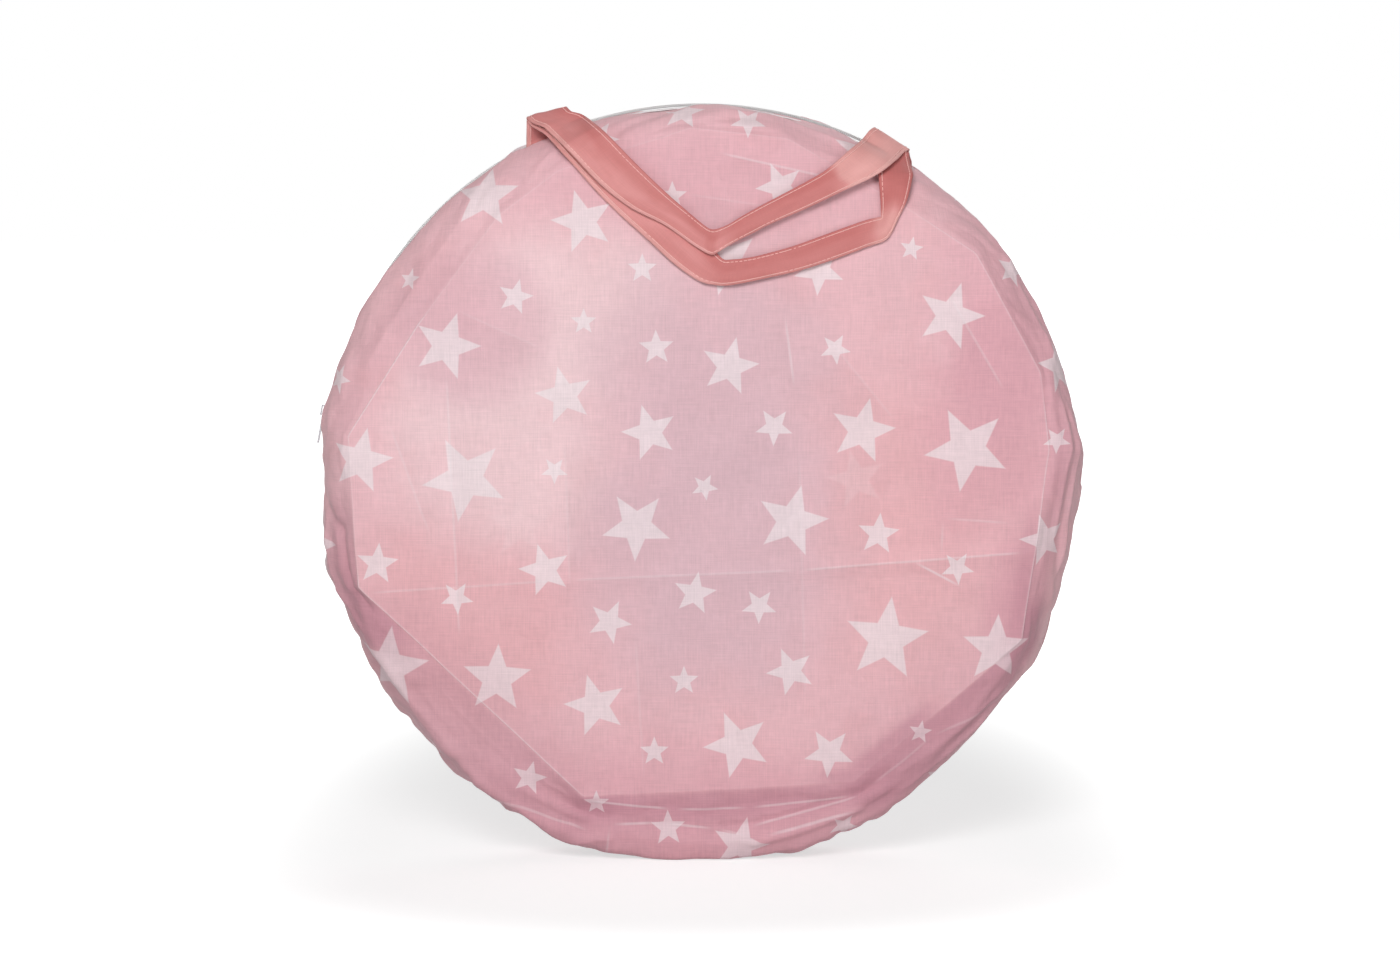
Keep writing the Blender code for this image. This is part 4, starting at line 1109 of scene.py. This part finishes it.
def strap_surface(sizes, stations, layer):
    """Evenly spaced rows of three points across a whole handle, and its length."""
    left, right = (end_rows(sizes, fold, layer) for fold in (FOLD_LEFT, FOLD_RIGHT))
    outer, inner = (smooth_rows([row[k : k + 2] for row in stations], 4) for k in (0, 2))
    loop = []
    for low, high in zip(outer, inner):
        spots = (low, (low + high) / 2, high)
        loop.append([[x, drape_depth(sizes, x, z, layer), z] for x, z in spots])
    tail = [row[::-1] for row in right[::-1]]
    rows = np.concatenate([smooth_rows(left, 6), loop, smooth_rows(tail, 6)])
    steps = np.linalg.norm(np.diff(rows[:, 1], axis=0), axis=1)
    run = np.concatenate([[0.0], np.cumsum(steps)])
    rows = rows_at(np.linspace(0.0, run[-1], STRAP_ROWS + 1), run, rows)
    for _ in range(3):
        rows[1:-1] = 0.25 * rows[:-2] + 0.5 * rows[1:-1] + 0.25 * rows[2:]
    return rows, float(run[-1])


def across_strap(rows, share):
    """Points at shares from -1 to 1 across the rows, and the strap's outer directions there."""
    share = np.asarray(share)[None, :, None]
    low, middle, high = (rows[:, None, k, :] for k in range(3))
    points = low * share * (share - 1) / 2 + middle * (1 - share * share) + high * share * (share + 1) / 2
    side = (high - low) + share * (low + high - 2 * middle) * 2
    outward = np.cross(np.gradient(points, axis=0), side)
    outward /= np.maximum(np.linalg.norm(outward, axis=-1, keepdims=True), 1e-12)
    if outward[len(rows) // 2, share.size // 2, 1] > 0:
        outward = -outward
    return points, outward


def build_handle(label, stations, layer, sizes, cloth, thread):
    """A handle: one strip of folded cloth with a line of stitches along both edges."""
    rows, length = strap_surface(sizes, stations, layer)
    share = np.linspace(-1.0, 1.0, STRAP_COLUMNS + 1)
    points, outward = across_strap(rows, share)
    run = np.linspace(0.0, length, STRAP_ROWS + 1)[:, None]
    wide = share[None, :] * sizes.strap_width / 2
    pillow = 0.00035 * (1.0 - fade(np.abs(share), 0.55, 0.85))
    crimp = 0.00025 * hills(run, wide, 0.006, 71 + layer)
    buckle = 0.0005 * hills(run, wide * 4, 0.028, 73 + layer) * (1 - share**2)
    points = points + outward * (pillow + crimp + buckle)[..., None]

    shape, row, column = grid(STRAP_ROWS, STRAP_COLUMNS)
    lay(shape, points[row, column])
    face_out(shape, lambda spot: Vector((0.0, -1.0, 0.0)))
    strap = finished(f"handle_{label}_strap", shape, cloth)
    corner, _ = face_corners(strap.data)
    across = (column / STRAP_COLUMNS - 0.5) * sizes.strap_width
    add_uv(strap.data, "cloth", np.stack([row / STRAP_ROWS * length, across], axis=1)[corner])
    thicken(strap, sizes.strap, 0.0)

    stitches = build_stitches(label, rows, length, sizes, thread)
    for piece in (strap, stitches):
        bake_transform(piece)
    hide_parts(f"handle_{label}", f"handle_{label}_end_left", f"handle_{label}_end_right")


def tube_piece(name, path, radius, look, closed=False, capped=False, swell=None):
    """Round tubes along one or more paths. swell scales the radius from point to point."""
    curve = bpy.data.curves.new(name, "CURVE")
    curve.dimensions = "3D"
    curve.bevel_depth = radius
    curve.bevel_resolution = 1
    curve.use_fill_caps = capped
    for points in path if isinstance(path, list) else [path]:
        line = curve.splines.new("POLY")
        line.points.add(len(points) - 1)
        line.points.foreach_set("co", np.concatenate([points, np.ones((len(points), 1))], axis=1).ravel())
        line.use_cyclic_u = closed
        if swell is not None:
            line.points.foreach_set("radius", swell)
    holder = bpy.data.objects.new(name, curve)
    bpy.context.scene.collection.objects.link(holder)
    depsgraph = bpy.context.evaluated_depsgraph_get()
    mesh = bpy.data.meshes.new_from_object(holder.evaluated_get(depsgraph))
    bpy.data.objects.remove(holder, do_unlink=True)
    bpy.data.curves.remove(curve)
    mesh.shade_smooth()
    return linked(name, mesh, look)


def build_stitches(label, rows, length, sizes, thread):
    """Thread along both edges of a strap, on both its faces, dipping into the cloth between stitches."""
    count = int(length / sizes.stitch) * STITCH_STEPS + 1
    fine = rows_at(np.linspace(0.004, 0.996, count), np.linspace(0.0, 1.0, len(rows)), rows)
    rise = sizes.strap / 2 + 0.00018 * np.cos(np.arange(count) / STITCH_STEPS * math.tau) + 0.0001
    paths = []
    for edge in (-STITCH_LINE, STITCH_LINE):
        points, outward = across_strap(fine, [edge])
        paths += [points[:, 0] + outward[:, 0] * rise[:, None] * face for face in (1.0, -1.0)]
    return tube_piece(f"handle_{label}_stitches", paths, STITCH_RADIUS, thread, capped=True)


def build_hoop(number, sizes, steel, cloth):
    """A folded hoop: the spring wire, its gathered sleeve and the ferrule that joins the wire's ends."""
    whole, join = HOOP_LOOPS * math.tau, math.pi / 2
    _, radius, _ = hoop_frame(sizes, number)
    bare = sizes.sleeve_end / radius
    turn = join + np.linspace(bare, whole - bare, 1400)
    gather = 0.92 + 0.08 * hills(turn * radius, np.zeros(1), 0.007, 90 + number)
    crimp = 1.0 - 0.12 * np.abs(np.sin(np.linspace(0.0, 3.0 * math.pi, 15)))

    def along(part, kind, turn, thick, finish, **shape):
        name = f"hoop_{part}_{number}_{kind}"
        return tube_piece(name, hoop_points(sizes, number, turn), thick, finish, **shape)

    ring = join + np.linspace(0.0, whole, 360, endpoint=False)
    wire = along("wire", "loops", ring, sizes.wire_radius, steel, closed=True)
    sleeve = along("sleeve", "cloth", turn, sizes.sleeve_radius, cloth, swell=gather)
    thicken(sleeve, sizes.cloth)
    crimped = join + np.linspace(-0.5, 0.5, 15) * bare
    ferrule = along("ferrule", "crimp", crimped, FERRULE_RADIUS, steel, swell=crimp)
    thicken(ferrule, FERRULE_WALL)
    belongs(wire, "bag", "spring_steel", f"hoop_wire_{number}")
    belongs(sleeve, "bag", "sleeve_cloth", f"hoop_sleeve_{number}")
    belongs(ferrule, "bag", "zip_metal", f"hoop_ferrule_{number}")
    flat = (math.tau * sizes.sleeve_radius, (whole - 2 * bare) * radius)


def spin(shape, geom, centre, axis, angle, steps, **options):
    bmesh.ops.spin(shape, geom=geom, cent=centre, axis=axis, angle=angle, steps=steps, **options)


def build_tent_folds(number, cloth):
    """The tent's cloth, folded flat inside one hoop: a soft stack of layers with round edges."""
    low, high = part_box(f"tent_cloth_{number}")
    half, outer = (high.y - low.y) / 2, (high.x - low.x) / 2
    lean = np.linspace(math.pi / 2, -math.pi / 2, 37)
    layers = 0.0012 * np.abs(np.sin(2.5 * math.pi * np.sin(lean)))
    edge = outer - 0.9 * half * (1.0 - np.cos(lean)) - layers
    face = np.linspace(0.0, edge[0], 24)[:-1]
    reach = np.concatenate([face, edge, face[::-1]])
    depth = np.concatenate([np.full(23, half), half * np.sin(lean), np.full(23, -half)])
    shape = bmesh.new()
    verts = [shape.verts.new((r, d, 0.0)) for r, d in zip(reach, depth)]
    edges = [shape.edges.new(pair) for pair in zip(verts, verts[1:])]
    spin(shape, verts + edges, (0.0, 0.0, 0.0), (0.0, 1.0, 0.0), math.tau, 144, use_merge=True)
    bmesh.ops.remove_doubles(shape, verts=shape.verts, dist=1e-5)
    bmesh.ops.recalc_face_normals(shape, faces=shape.faces)
    place = np.array([v.co for v in shape.verts])
    x, y, z = place.T
    folds = np.abs(hills(x, z, 0.035, 120 + number))
    tuck = np.abs(hills(x * 2.0, y * 9.0 + z * 2.0, 0.045, 130 + number))
    inward = np.hypot(x, z) / outer
    place[:, 1] *= 1.0 - 0.14 * folds
    place[:, ::2] *= (1.0 - 0.018 * tuck * fade(inward, 0.8, 1.0))[:, None]
    lay(shape, place + np.array((low + high) / 2))
    bundle = finished(f"tent_cloth_{number}_folds", shape, cloth)
    belongs(bundle, "bag", "tent_cloth", f"tent_cloth_{number}")


def build_binding(sizes, cloth):
    """Folded tape over the seam's raw edges, inside the lower half of the rim."""
    shape, column, row = grid(*BINDING_STEPS)
    low, high = BINDING_ENDS
    angle = low + column / BINDING_STEPS[0] * (high - low)
    across = row / BINDING_STEPS[1] - 0.5
    reach = rim_reach(sizes, angle) - BINDING_DROP - 0.0008 * (2 * across) ** 2
    points = round_places(sizes, angle, reach, 0.0008 + BINDING_WIDTH * across)
    points[:, 2] = np.maximum(points[:, 2], 0.0018)
    lay(shape, points)
    bmesh.ops.recalc_face_normals(shape, faces=shape.faces)
    binding = finished("rim_binding_tape", shape, cloth)
    thicken(binding, 0.0008, 0.0)
    belongs(binding, "bag", "zip_tape_cloth", "rim_binding")


def on_rim(sizes, angle):
    """Turns a shape made at the top of the rim, about the bag's centre, to an angle round it."""
    turned = Matrix.Rotation(math.pi / 2 - angle, 4, "Y")
    return Matrix.Translation((0.0, 0.0, sizes.centre_height)) @ turned


def spin_round(shape, geom, sizes, angle, steps, copies=False):
    """Spins a shape along the rim, as a surface or as copies."""
    centre = (0.0, 0.0, sizes.centre_height)
    spin(shape, geom, centre, (0.0, -1.0, 0.0), angle, steps, use_duplicate=copies)


def build_tape(name, side, sizes, cloth):
    """One half of the zip's woven tape."""
    start, end = sizes.zip_right - sizes.tape_end, sizes.zip_left + sizes.tape_end
    shape = bmesh.new()
    ends = [(0.0, side * y, sizes.tape_radius - sizes.tape / 2) for y in (TAPE_EDGE, sizes.tape_reach)]
    row = shape.edges.new([shape.verts.new(place) for place in ends])
    bmesh.ops.subdivide_edges(shape, edges=[row], cuts=11)
    bmesh.ops.transform(shape, matrix=on_rim(sizes, start), verts=shape.verts)
    spin_round(shape, shape.verts[:] + shape.edges[:], sizes, end - start, 320)
    bmesh.ops.remove_doubles(shape, verts=shape.verts, dist=1e-6)
    centre = Vector((0.0, 0.0, sizes.centre_height))
    face_out(shape, lambda spot: spot - centre)
    tape = finished(name, shape, cloth)
    thicken(tape, sizes.tape, 0.0)
    return tape


def build_coil(name, side, sizes, plastic):
    """One coil of the zip: turns of nylon, side by side."""
    shape = bmesh.new()
    bmesh.ops.create_circle(shape, segments=5, radius=COIL_WIRE, cap_ends=False)
    upright = Matrix.Rotation(math.pi / 2, 4, "Y") @ Matrix.Rotation(math.pi / 2, 4, "X")
    ring = Matrix.Translation((0.0, COIL_RING, 0.0)) @ upright
    bmesh.ops.transform(shape, matrix=ring, verts=shape.verts)
    spin(shape, shape.verts[:] + shape.edges[:], (0, 0, 0), (1, 0, 0), math.tau, 9, use_merge=True)
    bmesh.ops.remove_doubles(shape, verts=shape.verts, dist=1e-7)
    bmesh.ops.recalc_face_normals(shape, faces=shape.faces)
    for vert in shape.verts:
        vert.co.z *= (COIL_HEIGHT / 2 - COIL_WIRE) / COIL_RING
        vert.co.x += vert.co.y * COIL_LEAN
        vert.co.y = vert.co.y * COIL_SPREAD + side * COIL_MIDDLE
    middle = sizes.tape_radius + COIL_BASE + COIL_HEIGHT / 2
    bmesh.ops.translate(shape, verts=shape.verts, vec=(0.0, 0.0, middle))
    pitch = (sizes.zip_left - sizes.zip_right) / (COIL_GROUPS * COIL_TURNS)
    first = sizes.zip_right + (pitch / 2 if side > 0 else 0.0)
    bmesh.ops.transform(shape, matrix=on_rim(sizes, first), verts=shape.verts)
    for step, count in ((pitch, COIL_TURNS), (pitch * COIL_TURNS, COIL_GROUPS)):
        geom = shape.verts[:] + shape.edges[:] + shape.faces[:]
        spin_round(shape, geom, sizes, step * (count - 1), count - 1, True)
    return finished(name, shape, plastic)


def bevel(shape, edges, offset, segments):
    bmesh.ops.bevel(
        shape, geom=edges, offset=offset, segments=segments, profile=0.5, affect="EDGES", material=-1
    )


def block(size, centre, round_off, segments=2):
    """A bmesh box with rounded edges."""
    shape = bmesh.new()
    bmesh.ops.create_cube(shape, size=1.0)
    bmesh.ops.scale(shape, verts=shape.verts, vec=size)
    bevel(shape, shape.edges[:], round_off, segments)
    bmesh.ops.translate(shape, verts=shape.verts, vec=centre)
    return shape


def join_shapes(shapes):
    """One bmesh of several closed ones."""
    joined = bmesh.new()
    for shape in shapes:
        mesh = bpy.data.meshes.new("part")
        shape.to_mesh(mesh)
        shape.free()
        joined.from_mesh(mesh)
        bpy.data.meshes.remove(mesh)
    return joined


def build_stops(sizes, metal):
    """The zip's top stops and its bottom stop: small crimped metal staples."""
    gap = STOP_GAP / sizes.rim_radius
    height = sizes.tape_radius + COIL_BASE + COIL_HEIGHT / 2
    for name, angle, centre, width in (
        ("zip_top_stop_front", sizes.zip_left + gap, -0.0017, 0.002),
        ("zip_top_stop_back", sizes.zip_left + gap, 0.0017, 0.002),
        ("zip_bottom_stop", sizes.zip_right - gap, 0.0, 0.0054),
    ):
        shape = block((STOP_LENGTH, width, COIL_HEIGHT), (0.0, centre, height), 0.0005, 3)
        bmesh.ops.transform(shape, matrix=on_rim(sizes, angle), verts=shape.verts)
        belongs(finished(name + "_staple", shape, metal), "bag", "zip_metal", name)


def build_slider(sizes, metal):
    """The zip slider: two plates with turned-in lips, the wedge between them, and its crown."""
    tape, top = sizes.tape_radius, sizes.tape_radius + CROWN_BASE
    plate, lip, leg = (0.010, 0.008, 0.0012), (0.010, 0.0008, 0.0030), (0.0009, 0.0016, 0.0034)
    wedge, bar = (0.0036, 0.0008, 0.0056), (0.0064, 0.0016, 0.0009)
    shape = join_shapes([
        block(plate, (0.0, 0.0, top + 0.0006), 0.0005, 3),
        block(plate, (0.0, 0.0, tape - 0.0019), 0.0005, 3),
        block(lip, (0.0, 0.0036, top - 0.0010), 0.00025),
        block(lip, (0.0, -0.0036, top - 0.0010), 0.00025),
        block(wedge, (-0.0026, 0.0, tape + 0.0008), 0.00025),
        block(bar, (0.0, 0.0, top + 0.00385), 0.0003, 3),
        block(leg, (0.00275, 0.0, top + 0.0026), 0.00025),
        block(leg, (-0.00275, 0.0, top + 0.0026), 0.00025),
    ])
    for vert in shape.verts:
        tail = max(0.0, (vert.co.x - 0.001) / 0.004)
        if abs(vert.co.y) > 0.0028:
            vert.co.y *= 1.0 - 0.10 * tail
    bmesh.ops.transform(shape, matrix=on_rim(sizes, sizes.slider_at), verts=shape.verts)
    belongs(finished("zip_slider_body", shape, metal), "zip_slider", "zip_metal", "zip_slider")


def picked(geom, kind):
    return [g for g in geom if isinstance(g, kind)]


def build_pull(sizes, metal):
    """The pull: a framed eye that hangs on the crown, and a tab with a sunk face and a round end."""
    shape = bmesh.new()
    bmesh.ops.create_grid(shape, x_segments=1, y_segments=1, size=0.5)
    for vert in shape.verts:
        vert.co.x = EYE_ENDS[vert.co.x > 0]
        vert.co.y = math.copysign(EYE_HALF, vert.co.y)
    far = [e for e in shape.edges if all(v.co.x < 0 for v in e.verts)]
    bmesh.ops.inset_region(
        shape, faces=shape.faces[:], thickness=0.0012, use_boundary=True, use_even_offset=True
    )
    eye = min(shape.faces, key=lambda f: max(abs(v.co.y) for v in f.verts))
    bmesh.ops.delete(shape, geom=[eye], context="FACES")
    for reach, narrow in ((0.0135, 1.0), (0.0018, 0.86), (0.0008, 0.72), (0.0005, 0.5)):
        pushed = bmesh.ops.extrude_edge_only(shape, edges=far)["geom"]
        verts = picked(pushed, bmesh.types.BMVert)
        far = [e for e in picked(pushed, bmesh.types.BMEdge) if all(v in verts for v in e.verts)]
        bmesh.ops.translate(shape, verts=verts, vec=(-reach, 0.0, 0.0))
        bmesh.ops.scale(shape, verts=verts, vec=(1.0, narrow, 1.0))
    whole = bmesh.ops.extrude_face_region(shape, geom=shape.faces[:], use_keep_orig=True)["geom"]
    bmesh.ops.translate(shape, verts=picked(whole, bmesh.types.BMVert), vec=(0.0, 0.0, PULL_THICK))
    bmesh.ops.recalc_face_normals(shape, faces=shape.faces)
    for face in [f for f in shape.faces if f.calc_area() > 0.00006 and abs(f.normal.z) > 0.9]:
        bmesh.ops.inset_region(shape, faces=[face], thickness=0.0008, depth=-0.0002, use_even_offset=True)
    sharp = [e for e in shape.edges if len(e.link_faces) == 2 and e.calc_face_angle(0.0) > 1.0]
    bevel(shape, sharp, 0.0002, 2)
    height = sizes.tape_radius + PULL_HEIGHT - PULL_THICK / 2
    bmesh.ops.translate(shape, verts=shape.verts, vec=(0.0, 0.0, height))
    bmesh.ops.transform(shape, matrix=on_rim(sizes, sizes.slider_at), verts=shape.verts)
    belongs(finished("zip_pull_tab", shape, metal), "zip_pull", "zip_metal", "zip_pull")


class CARRYBAG_OT_panels(bpy.types.Operator):
    """Make the front and back panels of printed cloth"""

    bl_idname = "carrybag.panels"
    bl_label = "Panels"

    def execute(self, context):
        sizes, colours = context.scene.carry_bag_sizes, context.scene.carry_bag_colours
        for (label, side), creases in zip(SIDES, (FRONT_CREASES, BACK_CREASES)):
            cloth = print_cloth(colours, f"star_print_cloth_{label}", creases)
            panel = build_panel(f"{label}_panel_cloth", side, sizes, cloth)
            belongs(panel, "bag", "star_print_cloth", f"{label}_panel")
        return {"FINISHED"}


class CARRYBAG_OT_zip(bpy.types.Operator):
    """Make the zip's tapes, coils, stops, slider and pull"""

    bl_idname = "carrybag.zip"
    bl_label = "Zip"

    def execute(self, context):
        sizes, colours = context.scene.carry_bag_sizes, context.scene.carry_bag_colours
        cloth, plastic, metal = tape_cloth(colours), coil_plastic(colours), zip_metal(colours)
        for label, side in SIDES:
            tape = build_tape(f"zip_tape_{label}_cloth", side, sizes, cloth)
            belongs(tape, "bag", "zip_tape_cloth", f"zip_tape_{label}")
            coil = build_coil(f"zip_coil_{label}_turns", side, sizes, plastic)
            belongs(coil, "bag", "zip_coil_plastic", f"zip_coil_{label}")
        for build in (build_stops, build_slider, build_pull):
            build(sizes, metal)
        return {"FINISHED"}


class CARRYBAG_OT_handles(bpy.types.Operator):
    """Make the two strap handles with their stitches"""

    bl_idname = "carrybag.handles"
    bl_label = "Handles"

    def execute(self, context):
        sizes, colours = context.scene.carry_bag_sizes, context.scene.carry_bag_colours
        thread = thread_finish(colours)
        for layer, label, loop, patches in (
            (0, "front", FRONT_LOOP, FRONT_PATCHES), (1, "back", BACK_LOOP, BACK_PATCHES),
        ):
            cloth = strap_cloth(colours, f"strap_cloth_{label}", patches)
            build_handle(label, loop, layer, sizes, cloth, thread)
        return {"FINISHED"}


class CARRYBAG_OT_contents(bpy.types.Operator):
    """Make the seam binding and the folded tent inside the bag"""

    bl_idname = "carrybag.contents"
    bl_label = "Contents"

    def execute(self, context):
        sizes, colours = context.scene.carry_bag_sizes, context.scene.carry_bag_colours
        build_binding(sizes, lining_cloth(colours, "binding_cloth", 1500.0))
        steel = spring_steel(colours)
        sleeve = lining_cloth(colours, "sleeve_cloth", 900.0)
        tent = lining_cloth(colours, "tent_cloth", 1200.0)
        for number in HOOPS:
            build_hoop(number, sizes, steel, sleeve)
            build_tent_folds(number, tent)
        return {"FINISHED"}


class CARRYBAG_OT_stage(bpy.types.Operator):
    """Make the floor, lamps, world and camera"""

    bl_idname = "carrybag.stage"
    bl_label = "Stage"

    def execute(self, context):
        scene = context.scene
        stage = scene.carry_bag_stage
        scene.view_settings.view_transform = "Standard"
        centre = Vector((0.0, 0.0, scene.carry_bag_sizes.centre_height))
        camera = bpy.data.cameras.new("camera")
        camera.lens = stage.lens
        camera.clip_start = 0.05
        back_off = Vector((0, -math.cos(stage.elevation), math.sin(stage.elevation)))
        aim = centre + Vector((-0.0006, 0.0, 0.0019))
        scene.camera = self.aimed(scene, camera, centre + stage.distance * back_off, aim)
        for name, place, size, power in (
            ("key", (-0.5, -2.9, 1.9), 1.3, stage.key_power),
            ("fill", (1.5, -2.7, 0.9), 1.2, stage.fill_power),
            ("back", (0.9, 2.6, 2.3), 1.8, stage.back_power),
        ):
            lamp = bpy.data.lights.new(name, "AREA")
            lamp.size = size
            lamp.energy = power
            self.aimed(scene, lamp, Vector(place), centre)
        self.world(scene, stage.ambient)
        self.floor()
        return {"FINISHED"}

    def aimed(self, scene, data, place, aim):
        """A camera or a lamp that looks from a place at another."""
        made = bpy.data.objects.new(data.name, data)
        made.location = place
        made.rotation_euler = (aim - place).to_track_quat("-Z", "Y").to_euler()
        scene.collection.objects.link(made)
        return made

    def world(self, scene, ambient):
        """White where the camera, gloss or glass sees it, and soft light everywhere else."""
        scene.world = bpy.data.worlds.new("studio")
        sky = Finish(scene.world, "Background", Color=WHITE)
        seen = sky.seen_by("Is Camera Ray", "Is Glossy Ray", "Is Transmission Ray")
        sky.set("Strength", seen * (1.0 - ambient) + ambient)

    def floor(self):
        """A pale floor that shows shadows near the bag and runs out to white."""
        shape = bmesh.new()
        bmesh.ops.create_grid(shape, x_segments=8, y_segments=8, size=8.0)
        finish = material("floor", Roughness=0.9, Base_Color=FLOOR_GREY, Specular_IOR_Level=0.0)
        x, y, _ = finish.parts(finish.place())
        front = finish.math("MINIMUM", y + 0.06, 0.0)
        far = (x * x + y * y * 0.16 + front * front * 1.8) ** 0.5
        seen = (far.fade(0.20, 0.44) * 0.55 + 0.45) * finish.seen_by("Is Camera Ray", "Is Glossy Ray")
        white = finish.node("ShaderNodeEmission", None, {"Color": WHITE, "Strength": 1.4})[0]
        sockets = {0: seen, 1: finish.shader.outputs[0], 2: white}
        mixed = finish.node("ShaderNodeMixShader", None, sockets)[0]
        finish.feed(finish.tree.nodes["Material Output"].inputs["Surface"], mixed)
        finished("floor", shape, finish.owner, smooth=False)


class CARRYBAG_PT_sidebar(bpy.types.Panel):
    """Sizes, colours and the steps that make the bag"""

    bl_idname = "CARRYBAG_PT_sidebar"
    bl_label = "Carry bag"
    bl_space_type = "VIEW_3D"
    bl_region_type = "UI"
    bl_category = "Carry bag"

    def draw(self, context):
        for operator in OPERATORS:
            self.layout.operator(operator.bl_idname)
        for name in GROUPS:
            group = getattr(context.scene, name)
            for prop in group.__annotations__:
                self.layout.prop(group, prop)


GROUPS = {
    "carry_bag_sizes": CarryBagSizes,
    "carry_bag_colours": CarryBagColours,
    "carry_bag_stage": CarryBagStage,
}
OPERATORS = (
    CARRYBAG_OT_panels,
    CARRYBAG_OT_zip,
    CARRYBAG_OT_handles,
    CARRYBAG_OT_contents,
    CARRYBAG_OT_stage,
)
CLASSES = (*GROUPS.values(), *OPERATORS, CARRYBAG_PT_sidebar)


def register():
    for made in CLASSES:
        bpy.utils.register_class(made)
    for name, group in GROUPS.items():
        setattr(bpy.types.Scene, name, PointerProperty(type=group))


def unregister():
    for name in GROUPS:
        delattr(bpy.types.Scene, name)
    for made in reversed(CLASSES):
        bpy.utils.unregister_class(made)


def main():
    register()
    bpy.ops.carrybag.panels()
    bpy.ops.carrybag.zip()
    bpy.ops.carrybag.handles()
    bpy.ops.carrybag.contents()
    bpy.ops.carrybag.stage()


if __name__ == "__main__":
    main()
